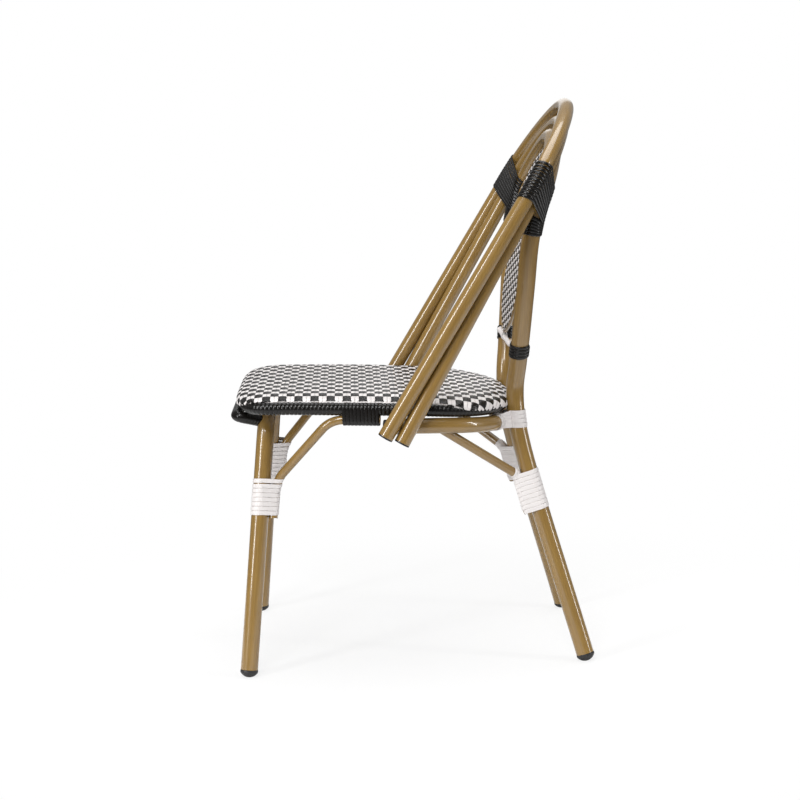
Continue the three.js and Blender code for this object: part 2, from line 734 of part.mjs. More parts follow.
// Windings: one unbroken strand round a bundle of tubes. Each turn follows the bundle's outline in a slice
// across it, as straight runs that touch the outline, while the slices move along the bundle.
function windingPoints({ guide, tubes, turns, steps, strand, thickness, ease = 0 }) {
  function touch(slice, step) {
    const first = along(slice.across, slice.normal, -slice.across.dot(slice.normal)).normalize();
    const second = cross(slice.normal, first);
    const angle = (step * 2 * Math.PI) / steps;
    const facing = along(first.multiplyScalar(Math.cos(angle)), second, Math.sin(angle));
    const contacts = tubes.map(({ route, radius }) => {
      const { centre, direction } = crossing(route, (p) => p.clone().sub(slice.origin).dot(slice.normal), 0);
      const slant = facing.dot(direction) / slice.normal.dot(direction);
      return { direction, reach: centre.sub(slice.origin).dot(facing) + radius * Math.hypot(1, slant) };
    });
    const { direction, reach } = contacts.reduce((a, b) => (a.reach > b.reach ? a : b));
    return { facing, direction, reach: reach + touchGap + ease + thickness / 2 };
  }
  return Array.from({ length: turns * steps + 1 }, (_, i) => {
    const slice = guide(i / (turns * steps));
    const [a, b] = [touch(slice, i), touch(slice, i + 1)];
    const turn = a.facing.dot(b.facing);
    const corner = along(
      along(slice.origin, a.facing, (a.reach - b.reach * turn) / (1 - turn ** 2)),
      b.facing,
      (b.reach - a.reach * turn) / (1 - turn ** 2),
    );
    const outward = a.facing.add(b.facing).divideScalar(1 + turn);
    const axial = a.direction.add(b.direction).normalize();
    const edges = [[-1, -1], [1, -1], [1, 1], [-1, 1]];
    return edges.map(([u, v]) => along(along(corner, axial, (u * strand) / 2), outward, (v * thickness) / 2));
  });
}

// The least distance between a winding's own points that are at least most of a turn apart
function leastGap(rows, steps) {
  let least = Infinity;
  for (let i = 0; i < rows.length; i++) {
    for (let j = i + steps - 2; j < rows.length; j++) {
      for (const p of rows[i]) {
        for (const q of rows[j]) least = Math.min(least, p.distanceTo(q));
      }
    }
  }
  return least;
}

function addWinding(name, winding, look) {
  const rows = windingPoints(winding);
  console.log(`${name}: least gap to itself ${leastGap(rows, winding.steps).toFixed(2)} mm`);
  addPair(name, skin(rows), look);
}

const strip = { strand: stripWidth, thickness: stripThickness };
const strand = { strand: strandWidth, thickness: strandThickness };
const frontLeg = { route: frontHalf, radius: legRadius };
const rearLeg = { route: rearHalf, radius: rearRadius };
const frontBrace = { route: frontBraceRoute, radius: braceRadius };

// The middle of a strand between two ends that its edges stay inside
const inside = (start, end, t, strandSize) => {
  const inset = Math.sign(end - start) * (strandSize / 2 + touchGap);
  return mix(start + inset, end - inset, t);
};

addWinding(
  "front_leg_wrap",
  {
    ...strip,
    guide: (t) => ({
      origin: at(frontHalf, height, inside(frontWrapBottom, frontWrapTop, t, stripWidth)),
      normal: frontUp,
      across: yAxis,
    }),
    tubes: [frontLeg, frontBrace],
    turns: legWrapTurns,
    steps: wrapSteps,
  },
  white,
);

addWinding(
  "rear_leg_wrap",
  {
    ...strip,
    guide: (t) => ({
      origin: at(rearHalf, height, inside(rearWrapBottom, rearWrapTop, t, stripWidth)),
      normal: rearUp,
      across: tailOutward,
    }),
    tubes: [rearLeg, { route: rearBraceRoute, radius: braceRadius }],
    turns: legWrapTurns,
    steps: wrapSteps,
    ease: bendEase / 2,
  },
  white,
);

addWinding(
  "rail_wrap",
  {
    ...strip,
    guide: (t) => {
      const { centre, direction } = crossing(railHalf, width, mix(railWrapOuter, railWrapInner, t));
      return { origin: centre, normal: direction, across: zAxis };
    },
    tubes: [{ route: railHalf, radius: railRadius }],
    turns: railWrapTurns,
    steps: wrapSteps,
    ease: bendEase / 2,
  },
  white,
);

addWinding(
  "shoulder_lashing",
  {
    ...strand,
    guide: (t) => {
      const outer = at(outerHalf, height, mix(outerLashingBottom, outerLashingTop, t));
      const rear = at(rearHalf, height, mix(rearLashingBottom, rearLashingTop, t));
      const across = directionTo(rear, outer);
      return { origin: between(rear, outer, 1 / 2), normal: cross(hoopFacing, across).normalize(), across };
    },
    tubes: [rearLeg, { route: outerHalf, radius: hoopRadius }, { route: innerHalf, radius: hoopRadius }],
    turns: lashingTurns,
    steps: lashingSteps,
    ease: bendEase,
  },
  black,
);

addWinding(
  "upright_band",
  {
    ...strand,
    guide: (t) => {
      const { centre, direction } = crossing(rearHalf, height, mix(bandBottom, bandTop, t));
      return { origin: centre, normal: direction, across: yAxis };
    },
    tubes: [rearLeg],
    turns: bandTurns,
    steps: wrapSteps,
  },
  black,
);

addWinding(
  "side_wrap",
  {
    ...strand,
    guide: (t) => ({
      origin: at(ringHalf, depth, inside(sideWrapFront, sideWrapRear, t, strandWidth)),
      normal: yAxis,
      across: zAxis,
    }),
    tubes: [{ route: ringHalf, radius: ringRadius }, frontBrace],
    turns: sideWrapTurns,
    steps: sideWrapSteps,
  },
  black,
);

export default group;
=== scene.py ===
"""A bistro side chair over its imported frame: smooth bent tubes, real windings and two woven
sheets, in a white studio. Lengths are in millimetres until a mesh is made."""

import math

import bpy
import numpy as np
from mathutils import Matrix, Vector


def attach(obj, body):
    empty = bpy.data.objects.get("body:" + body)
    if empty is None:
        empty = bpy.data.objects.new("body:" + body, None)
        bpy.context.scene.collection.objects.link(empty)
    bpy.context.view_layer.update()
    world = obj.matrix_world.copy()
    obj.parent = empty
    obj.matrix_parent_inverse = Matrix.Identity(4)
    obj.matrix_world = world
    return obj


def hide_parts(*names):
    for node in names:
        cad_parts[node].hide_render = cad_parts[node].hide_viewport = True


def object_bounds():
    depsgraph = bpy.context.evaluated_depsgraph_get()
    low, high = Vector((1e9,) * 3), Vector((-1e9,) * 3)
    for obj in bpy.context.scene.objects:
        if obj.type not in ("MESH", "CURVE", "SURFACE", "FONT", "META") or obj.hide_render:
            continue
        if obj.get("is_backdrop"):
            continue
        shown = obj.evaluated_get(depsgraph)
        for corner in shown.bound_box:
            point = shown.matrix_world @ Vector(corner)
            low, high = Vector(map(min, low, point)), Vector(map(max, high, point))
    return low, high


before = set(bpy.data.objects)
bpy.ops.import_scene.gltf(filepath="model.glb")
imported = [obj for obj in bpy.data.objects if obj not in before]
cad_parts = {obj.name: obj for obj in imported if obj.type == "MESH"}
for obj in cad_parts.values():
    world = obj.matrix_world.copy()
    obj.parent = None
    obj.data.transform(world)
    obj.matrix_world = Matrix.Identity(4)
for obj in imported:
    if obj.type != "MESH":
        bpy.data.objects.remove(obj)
cad_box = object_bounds()

MM = 0.001
TAU = 2 * math.pi
MIRROR = np.array([-1.0, 1.0, 1.0])
X, Y, Z = np.eye(3)

# Tube radii
LEG, REAR, HOOP, RAIL, RING = 13.5, 14.0, 12.0, 12.0, 8.5
FRONT_RAIL, BRACE, BAR, RIM = 7.0, 7.0, 3.0, 2.5
GAP = 0.35

# Strands
STRAND, STRAND_THICK = 5.4, 2.0
STRIP, STRIP_THICK = 6.9, 1.3
BINDING_REACH = GAP + STRAND_THICK
# How far a winding stands off its tube, and the share of a turn over which its ends sink in
EASE, DIVE = 0.05, 0.12

TUBE_SIDES = 40
CAP_THICK, CAP_EDGE = 2.6, 0.8
GLIDE_BALL, GLIDE_CENTRE, GLIDE_SHOULDER, GLIDE_LIP = 16, 15, 4, 0.3


def vec(x, y, z):
    return np.array([x, y, z], float)


def unit(v):
    return v / np.linalg.norm(v)


def mix(a, b, t):
    return a + (b - a) * t


def smooth(x, low, high):
    t = np.clip((x - low) / (high - low), 0, 1)
    return t * t * (3 - 2 * t)


# Routes


def bezier(points, steps):
    """Points along a Bezier curve of any degree."""
    t = np.linspace(0, 1, steps + 1)[:, None]
    n = len(points) - 1
    return sum(
        math.comb(n, k) * (1 - t) ** (n - k) * t**k * np.asarray(p)
        for k, p in enumerate(points)
    )


def spline(points, steps, before=None, after=None):
    """A centripetal Catmull-Rom curve through points, with one point before and one after."""
    points = [np.asarray(p, float) for p in points]
    before = 2 * points[0] - points[1] if before is None else before
    after = 2 * points[-1] - points[-2] if after is None else after
    chain = [before, *points, after]
    t = np.linspace(0, 1, steps, endpoint=False)[:, None]
    runs = []
    for p0, p1, p2, p3 in zip(chain, chain[1:], chain[2:], chain[3:]):
        d0, d1, d2 = (np.linalg.norm(b - a) ** 0.5 for a, b in ((p0, p1), (p1, p2), (p2, p3)))
        t1 = ((p1 - p0) / d0 - (p2 - p0) / (d0 + d1) + (p2 - p1) / d1) * d1
        t2 = ((p2 - p1) / d1 - (p3 - p1) / (d1 + d2) + (p3 - p2) / d2) * d1
        runs.append(
            p1 + t1 * t + (3 * (p2 - p1) - 2 * t1 - t2) * t**2 + (2 * (p1 - p2) + t1 + t2) * t**3
        )
    return np.vstack([*runs, points[-1]])


def bent(corners, setback, steps=14):
    """Straight runs joined by bends that start one setback from each corner."""
    corners = [np.asarray(c, float) for c in corners]
    runs = [corners[0][None]]
    for a, b, c in zip(corners, corners[1:], corners[2:]):
        start, end = b + unit(a - b) * setback, b + unit(c - b) * setback
        runs.append(bezier([start, b, end], steps))
    return np.vstack([*runs, corners[-1][None]])


def both_sides(half):
    """A half route whose last point is on the middle plane, made whole."""
    return np.vstack([half, half[:-1][::-1] * MIRROR])


def loop(half):
    """A half loop whose two ends are on the middle plane, made whole."""
    return np.vstack([half, half[1:-1][::-1] * MIRROR])


def crossing(route, measured, value=0.0):
    """Where a measure along a route takes a value, and the route's direction there."""
    found = np.flatnonzero((measured[:-1] - value) * (measured[1:] - value) <= 0)
    if len(found):
        i = found[0]
    else:
        i = 0 if abs(measured[0] - value) < abs(measured[-1] - value) else len(route) - 2
    share = (value - measured[i]) / (measured[i + 1] - measured[i])
    return mix(route[i], route[i + 1], share), unit(route[i + 1] - route[i])


def at(route, axis, value):
    return crossing(route, route[:, axis], value)[0]


def headings(route, closed=False):
    """The direction at each point of a route."""
    if closed:
        steps = np.roll(route, -1, 0) - np.roll(route, 1, 0)
    else:
        steps = np.gradient(route, axis=0)
    return steps / np.linalg.norm(steps, axis=1)[:, None]


def lengths(route):
    """The distance along a route to each of its points."""
    return np.concatenate([[0], np.cumsum(np.linalg.norm(np.diff(route, axis=0), axis=1))])


def resampled(route, spacing):
    """The same route with points at an even spacing."""
    s = lengths(route)
    t = np.linspace(0, s[-1], max(2, int(round(s[-1] / spacing)) + 1))
    return np.stack([np.interp(t, s, route[:, k]) for k in range(3)], 1)


def run_on(route, distance):
    """The same route with both ends moved out by a distance, or in where it is negative."""
    route = route.copy()
    route[0] += unit(route[0] - route[1]) * distance
    route[-1] += unit(route[-1] - route[-2]) * distance
    return route


# Front leg frame
front_foot = vec(203, -265.5, 0)
front_corner = vec(148, -227.5, 396)
front_up = unit(front_corner - front_foot)
GLIDE_SHOW = 11


def leg_end(foot, up):
    return foot + up * (GLIDE_SHOW / up[2] + GAP)


front_half = bent(
    [leg_end(front_foot, front_up), front_corner, vec(0, *front_corner[1:])], 34, 20
)


# Brace hoops
HOOP_SPRING = 233.5


def hoop_half(foot, apex, spring, arch_height, share):
    down = unit(vec(0, foot[1], foot[2]) - apex)

    def place(half_width, distance):
        return vec(half_width, apex[1], apex[2]) + down * distance

    arch = bezier(
        [
            place(spring, arch_height),
            place(spring, arch_height * (1 - share)),
            place(spring * share, 0),
            apex,
        ],
        44,
    )
    return np.vstack([resampled(np.array([foot, arch[0]]), 12)[:-1], arch])


def nested_crown(apex, spacing, lean):
    a = math.radians(lean)
    return vec(0, apex[1] - spacing * math.sin(a), apex[2] - spacing * math.cos(a))


hoop_spacing = 2 * HOOP + GAP
CROWN_SLACK = 2.7
outer_foot = vec(239.8, -45.5, 376.7)
outer_apex = vec(0, 257.2, 867.8)
hoop_rise = unit(outer_apex - vec(0, *outer_foot[1:]))
hoop_facing = np.cross(X, hoop_rise)
inner_foot = outer_foot - hoop_facing * (hoop_spacing + 2.3) + hoop_rise * 4.2
inner_foot[0] -= 3.8
inner_apex = nested_crown(outer_apex, hoop_spacing + CROWN_SLACK, 16.8)
outer_half = hoop_half(outer_foot, outer_apex, HOOP_SPRING, 147, 0.45)
inner_half = hoop_half(
    inner_foot, inner_apex, HOOP_SPRING - hoop_spacing - CROWN_SLACK, 139, 0.48
)

# Rear hoop
rear_foot = vec(167, 267, 0)
waist = vec(100, 164, 430)
rear_spring = vec(177, 199, 725)
rear_apex = nested_crown(inner_apex, HOOP + REAR + 2 * GAP, 28.4)
leg_points = [
    vec(mix(waist[0], rear_foot[0], x), mix(waist[1], rear_foot[1], y), waist[2] * z)
    for x, y, z in ((0.194, 0.103, 0.767), (0.06, 0.01, 0.895))
]
upright_points = [
    mix(waist, rear_spring, np.array(share))
    for share in (
        (0.169, 0.114, 0.136),
        (0.377, 0.229, 0.288),
        (0.649, 0.409, 0.542),
        (0.896, 0.614, 0.814),
    )
]
arch_foot = vec(rear_spring[0], *rear_apex[1:])
rear_up = unit(leg_points[0] - rear_foot)
rear_start = leg_end(rear_foot, rear_up)
rear_curve = spline(
    [rear_start, *leg_points, waist, *upright_points, rear_spring],
    12,
    before=rear_start - rear_up * 300,
    after=mix(rear_spring, arch_foot, 0.3),
)
rear_arch = bezier(
    [
        rear_spring,
        mix(rear_spring, arch_foot, 0.4),
        vec(rear_spring[0] * 0.4, *rear_apex[1:]),
        rear_apex,
    ],
    44,
)
rear_half = np.vstack([rear_curve[:-1], rear_arch])
rear_rise = unit(arch_foot - rear_spring)

# Seat ring
SEAT_HALF, SEAT_FRONT, SEAT_REAR = 203.5, -264.0, 150.0
SEAT_DEPTH, SEAT_LEVEL, SEAT_DROP = SEAT_REAR - SEAT_FRONT, 421.3, 19
# The ring's quarters: where each one's widest point lies, how far it reaches, and how square it is
FRONT_QUARTER, REAR_QUARTER = (-190, -74, 4.25), (10, 140, 2.5)
# Degrees up the ring's tube at which the weave ends at the sides and the rear, and the front's drop
ROLL_SIDE, ROLL_REAR, ROLL_FRONT_DROP = 72.0, 2.0, 66.0


def seat_height(y):
    return SEAT_LEVEL - SEAT_DROP * (np.maximum(y - SEAT_FRONT, 0) / SEAT_DEPTH) ** 2.2


def rounded_quarter(middle, reach, power, steps=40):
    angle = np.linspace(0, math.pi / 2, steps + 1)
    x = SEAT_HALF * np.sin(angle) ** (2 / power)
    y = middle + reach * np.cos(angle) ** (2 / power)
    return np.stack([x, y, seat_height(y)], 1)


ring_half = resampled(
    np.vstack(
        [
            rounded_quarter(*FRONT_QUARTER),
            rounded_quarter(*REAR_QUARTER)[::-1],
        ]
    ),
    3.0,
)
ring_half[0, 0] = ring_half[-1, 0] = 0
ring_route = loop(ring_half)
ring_out = np.cross(headings(ring_route, closed=True), Z)
ring_out /= np.linalg.norm(ring_out, axis=1)[:, None]
ring_closed = np.vstack([ring_route, ring_route[:1]])
ring_out_closed = np.vstack([ring_out, ring_out[:1]])
ring_lengths = lengths(ring_closed)
ring_total = ring_lengths[-1]


def ring_at(s):
    """The ring's centre and outward direction at a length from the middle of its front."""
    s = np.mod(s, ring_total)
    centre = np.stack([np.interp(s, ring_lengths, ring_closed[:, k]) for k in range(3)], -1)
    out = np.stack([np.interp(s, ring_lengths, ring_out_closed[:, k]) for k in range(3)], -1)
    return centre, out / np.linalg.norm(out, axis=-1, keepdims=True)


def round_ring(s, degrees, radius):
    """A point round the ring's tube and the way out of it: 0 degrees is outward, 90 is up."""
    centre, out = ring_at(s)
    a = np.radians(degrees)[..., None]
    facing = out * np.cos(a) + Z * np.sin(a)
    return centre + facing * np.asarray(radius)[..., None], facing


def roll_angle(y):
    """How far down the weave comes over the ring: further at the front and the rear."""
    towards_rear, off_front = smooth(y, 20, 92), smooth(y, SEAT_FRONT, -226)
    return mix(ROLL_SIDE, ROLL_REAR, towards_rear) - ROLL_FRONT_DROP * (1 - off_front)


# Front rail
UNDER_RING = RING + BINDING_REACH + GAP
front_rail_y, front_rail_z, front_rail_corner = -273.5, 403.3, 157
front_rail_half = bent(
    [
        at(front_half, 2, front_rail_z - LEG),
        vec(front_rail_corner, front_rail_y, front_rail_z),
        vec(0, front_rail_y, front_rail_z),
    ],
    setback=15,
)

# Seat rail
RAIL_FRONT_Z, RAIL_REAR_Z = 389, 378.2
SLANT = 1.035
outer_contact = at(outer_half, 2, RAIL_FRONT_Z)
inner_contact = at(inner_half, 2, RAIL_FRONT_Z)
rear_contact = at(rear_half, 2, RAIL_REAR_Z)
side_spacing = (HOOP + RAIL + GAP) * SLANT
rail_start = vec(outer_contact[0] - side_spacing, outer_contact[1], RAIL_FRONT_Z)
rail_turn = vec(inner_contact[0] - side_spacing, inner_contact[1], RAIL_FRONT_Z)
rail_back = vec(
    rear_contact[0], rear_contact[1] - (REAR + RAIL + GAP) * SLANT, RAIL_REAR_Z
)
rail_bends = [
    vec(
        mix(rail_turn[0], rail_back[0], x),
        mix(rail_turn[1], rail_back[1], y),
        mix(RAIL_FRONT_Z, RAIL_REAR_Z, y**2),
    )
    for x, y in ((0.053, 0.332), (0.223, 0.637), (0.508, 0.854), (0.867, 0.983))
]
rail_face = rail_start + unit(rail_start - rail_turn) * (rail_start[1] + 46)
rail_half = np.vstack(
    [
        rail_face[None],
        spline(
            [rail_start, rail_turn, *rail_bends, rail_back],
            16,
            after=rail_back - X * 25,
        ),
        vec(0, rail_back[1], rail_back[2])[None],
    ]
)


# Braces: heights on the leg where each stands clear and where it bends away, and its other end
FRONT_BRACE_FOOT, FRONT_BRACE_BEND, FRONT_BRACE_ENDS = 244, 300, (-127.0, -51.0)
REAR_BRACE_FOOT, REAR_BRACE_BEND, REAR_BRACE_END = 239, 298, 33


def under_side(y):
    return vec(SEAT_HALF, y, seat_height(y) - UNDER_RING - BRACE)


leg_spacing = (LEG + BRACE + GAP) / math.hypot(front_up[0], front_up[2])
front_brace = bent(
    [
        at(front_half, 2, FRONT_BRACE_FOOT) + Y * leg_spacing,
        at(front_half, 2, FRONT_BRACE_BEND) + Y * leg_spacing,
        *(under_side(y) for y in FRONT_BRACE_ENDS),
    ],
    setback=22,
)
TAIL_TURN = 0.3
tail_side = vec(TAIL_TURN, -math.sqrt(1 - TAIL_TURN**2), 0)
tail_out = unit(tail_side - rear_up * (tail_side @ rear_up))
brace_off = tail_out * (REAR + BRACE + GAP)
rear_brace = bent(
    [
        at(rear_half, 2, REAR_BRACE_FOOT) + brace_off,
        at(rear_half, 2, REAR_BRACE_BEND) + brace_off,
        at(rail_half, 1, REAR_BRACE_END),
    ],
    setback=9,
)

# Cross-bar
BAR_Y, BAR_Z = 156, 498.5
bar_end = at(rear_half, 2, BAR_Z)
bar_half = bent([bar_end, vec(bar_end[0] - 14, BAR_Y, BAR_Z), vec(0, BAR_Y, BAR_Z)], 9)
bar_route = both_sides(bar_half)

# Back panel: its rim, and the profile that its sheet follows
RIM_SPACING, RIM_TOP_SPACING, RIM_FORWARD = 21.0, 16.6, 5.0
RIM_RISE_START, RIM_RISE_END = 700, 800
PANEL_SIDE_Z, PANEL_UPPER_Z, PANEL_BOTTOM_Z = 575, 642, 508
back_facing = np.cross(X, unit(rear_apex - vec(0, *waist[1:])))
panel_bottom = vec(0, BAR_Y, PANEL_BOTTOM_Z)
side_contact = at(rear_half, 2, PANEL_SIDE_Z)
panel_side = side_contact - vec(RIM_SPACING, 10, 0)
lower_angle = np.linspace(0, math.pi / 2, 30)[:-1]
LOWER_POWER = 2 / 1.7
lower_rise = 1 - np.cos(lower_angle) ** LOWER_POWER
panel_lower = np.stack(
    [
        panel_side[0] * np.sin(lower_angle) ** LOWER_POWER,
        mix(panel_bottom[1], panel_side[1], lower_rise),
        mix(panel_bottom[2], panel_side[2], lower_rise),
    ],
    1,
)
inward = np.cross(back_facing, headings(rear_half))
inward /= np.linalg.norm(inward, axis=1)[:, None]
rim_rise = smooth(rear_half[:, 2], RIM_RISE_START, RIM_RISE_END)[:, None]
offset = rear_half + inward * mix(RIM_SPACING, RIM_TOP_SPACING, rim_rise)
offset += back_facing * RIM_FORWARD * rim_rise
panel_upper = offset[rear_half[:, 2] > PANEL_UPPER_Z][:-1]
panel_top = rear_apex - rear_rise * RIM_TOP_SPACING + back_facing * RIM_FORWARD
rim_guide = np.vstack([panel_lower, panel_side[None], panel_upper, panel_top[None]])
rim_half = resampled(rim_guide, 4.0)
for _ in range(6):
    rim_half[1:-1] = (rim_half[:-2] + 2 * rim_half[1:-1] + rim_half[2:]) / 4
rim_half[0, 0] = rim_half[-1, 0] = 0
rim_route = loop(rim_half)


# Meshes


class Builder:
    """Gathers closed sweeps into one mesh, with lengths round and along each in its UV map."""

    def __init__(self):
        self.points, self.faces, self.uvs, self.tones, self.count = [], [], [], [], 0

    def add(self, rows, closed=False, tone=0.5):
        """Rows of section points, joined in order. Each row has the same number of points."""
        rows = np.asarray(rows, float)
        n, m = rows.shape[:2]
        i = np.arange(n if closed else n - 1)[:, None]
        j = np.arange(m)[None]
        k = (j + 1) % m
        ahead = (i + 1) % n
        quads = np.stack(
            [i * m + j, i * m + k, ahead * m + k, ahead * m + j], -1
        ).reshape(-1, 4)
        flat = rows.reshape(-1, 3)
        a, b, c, d = (flat[quads[:, q]] - flat.mean(0) for q in range(4))
        volume = np.einsum("ij,ij->", a, np.cross(b, c)) + np.einsum("ij,ij->", a, np.cross(c, d))
        around = np.linalg.norm(np.roll(rows[n // 2], -1, 0) - rows[n // 2], axis=1)
        around = np.concatenate([[0], np.cumsum(around)])
        path = rows.mean(1)
        along = lengths(np.vstack([path, path[:1]]) if closed else path)
        u0, u1, v0, v1 = (
            np.broadcast_to(values, (len(i), m))
            for values in (around[:-1][None], around[1:][None], along[i], along[i + 1])
        )
        corners = ((u0, v0), (u1, v0), (u1, v1), (u0, v1))
        uv = np.stack([np.stack(corner, -1) for corner in corners], 2).reshape(-1, 4, 2)
        if volume < 0:
            quads, uv = quads[:, ::-1], uv[:, ::-1]
        faces = (quads + self.count).tolist()
        uvs = [uv.reshape(-1, 2)]
        if not closed:
            first, last = np.arange(m)[::-1], np.arange(m) + (n - 1) * m
            for cap in (first, last):
                cap = cap[::-1] if volume < 0 else cap
                faces.append((cap + self.count).tolist())
                uvs.append(np.zeros((m, 2)))
        self.points.append(flat)
        self.faces += faces
        self.uvs += uvs
        self.tones.append(np.full(len(flat), tone))
        self.count += len(flat)

    def build(self, name, material, nodes, slot, sharp=50):
        mesh = bpy.data.meshes.new(name)
        mesh.from_pydata(np.vstack(self.points) * MM, [], self.faces)
        mesh.uv_layers.new(name="lengths").data.foreach_set("uv", np.vstack(self.uvs).ravel())
        mesh.attributes.new("tone", "FLOAT", "POINT").data.foreach_set(
            "value", np.concatenate(self.tones)
        )
        mesh.shade_smooth()
        mesh.set_sharp_from_angle(angle=math.radians(sharp))
        mesh.materials.append(material)
        piece = bpy.data.objects.new(name, mesh)
        bpy.context.scene.collection.objects.link(piece)
        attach(piece, "root")
        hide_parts(*nodes)


def ring_axes(route, closed=False, lead=None):
    """Two directions square to the route at each point, carried along it without a twist."""
    heads = headings(route, closed)
    first = np.zeros_like(route)
    if lead is None:
        lead = Z if abs(heads[0] @ Z) < 0.9 else Y
    carried = lead
    for i, h in enumerate(heads):
        carried = carried - h * (carried @ h)
        carried /= np.linalg.norm(carried)
        first[i] = carried
    return first, np.cross(heads, first)


def tube_rows(route, radius, sides=TUBE_SIDES, closed=False, lead=None):
    first, second = ring_axes(route, closed, lead)
    a = np.arange(sides) * TAU / sides
    return (
        route[:, None]
        + radius * np.cos(a)[None, :, None] * first[:, None]
        + radius * np.sin(a)[None, :, None] * second[:, None]
    )


def oval(width, thick, count=12, power=2.6):
    """The outline of a strand's section: across, then out."""
    a = (np.arange(count) + 0.5) * TAU / count
    c, s = np.cos(a), np.sin(a)
    return np.stack(
        [
            np.sign(c) * abs(c) ** (2 / power) * width / 2,
            np.sign(s) * abs(s) ** (2 / power) * thick / 2,
        ],
        1,
    )


def strand_rows(path, across, out, section):
    """A strand along a path, given the direction across it and out of its face at each point."""
    return (
        path[:, None]
        + section[None, :, :1] * across[:, None]
        + section[None, :, 1:] * out[:, None]
    )


def winding(guide, tubes, turns, width, thick, steps=64, power=2.6, phase=0.0):
    """One strand round a bundle of tubes: it touches each tube in turn as the slices move on."""
    path, across, outs = [], [], []
    count = int(round(turns * steps))
    for i in range(count + 1):
        origin, normal, lead = guide(i / count)
        first = unit(lead - normal * (lead @ normal))
        second = np.cross(normal, first)
        angle = phase + i * TAU / steps
        facing = first * math.cos(angle) + second * math.sin(angle)
        best = None
        end = min(i, count - i) / steps
        sink = thick * 1.1 * (1 - smooth(end, 0, DIVE))
        for route, radius in tubes:
            centre, heading = crossing(route, (route - origin) @ normal)
            slant = (facing @ heading) / (normal @ heading)
            reach = (centre - origin) @ facing + radius * math.hypot(1, slant)
            if best is None or reach > best[0]:
                best = (reach, centre, heading, slant, radius)
        _, centre, heading, slant, radius = best
        lean = heading / (normal @ heading) - normal
        spot = centre + (facing + lean * slant) / math.hypot(1, slant) * radius
        path.append(spot + facing * (EASE + thick / 2 - sink))
        across.append(heading if heading @ normal > 0 else -heading)
        outs.append(facing)
    across = np.array(across)
    window = np.ones(5) / 5
    padded = np.pad(across, ((2, 2), (0, 0)), mode="edge")
    across = np.stack([np.convolve(padded[:, k], window, "valid") for k in range(3)], 1)
    across /= np.linalg.norm(across, axis=1)[:, None]
    return strand_rows(np.array(path), across, np.array(outs), oval(width, thick, power=power))


def helix(route, radius, pitch, width, thick, start, end, steps=26, power=2.6):
    """A strand wound on one tube between two lengths along it."""
    s = lengths(route)
    first, second = ring_axes(route)
    heads = headings(route)
    t = np.linspace(start, end, int(abs(end - start) / pitch * steps) + 1)

    def read(values):
        return np.stack([np.interp(t, s, values[:, k]) for k in range(3)], 1)

    angle = (t - start) / pitch * TAU
    out = read(first) * np.cos(angle)[:, None] + read(second) * np.sin(angle)[:, None]
    out /= np.linalg.norm(out, axis=1)[:, None]
    ends = np.minimum(t - start, end - t) / pitch
    sink = thick * 1.1 * (1 - smooth(ends, 0, DIVE))
    path = read(route) + out * (radius + EASE + thick / 2 - sink)[:, None]
    turn = np.linalg.norm(path[steps:] - path[:-steps], axis=1) / pitch
    spread = (np.append(turn, turn[-steps:]) + np.append(turn[:steps], turn)) / 2
    return strand_rows(path, read(heads) * spread[:, None], out, oval(width, thick, power=power))


def lathe_rows(profile, place, axis, sides=48):
    """Rings of a turned piece: its profile is (radius, distance along the axis)."""
    first = unit(np.cross(axis, X if abs(axis[0]) < 0.9 else Y))
    second = np.cross(axis, first)
    a = np.arange(sides) * TAU / sides
    ring = np.cos(a)[:, None] * first + np.sin(a)[:, None] * second
    return np.array([place + axis * d + ring * max(r, 0.01) for r, d in profile])


# Materials


def map_range(tree, value, limits, kind="LINEAR"):
    """A value mapped from its own limits to new ones: the limits are from, from, to, to."""
    node = tree.nodes.new("ShaderNodeMapRange")
    node.interpolation_type = kind
    for key, number in zip(("From Min", "From Max", "To Min", "To Max"), limits):
        node.inputs[key].default_value = number
    tree.links.new(value, node.inputs["Value"])
    return node.outputs["Result"]


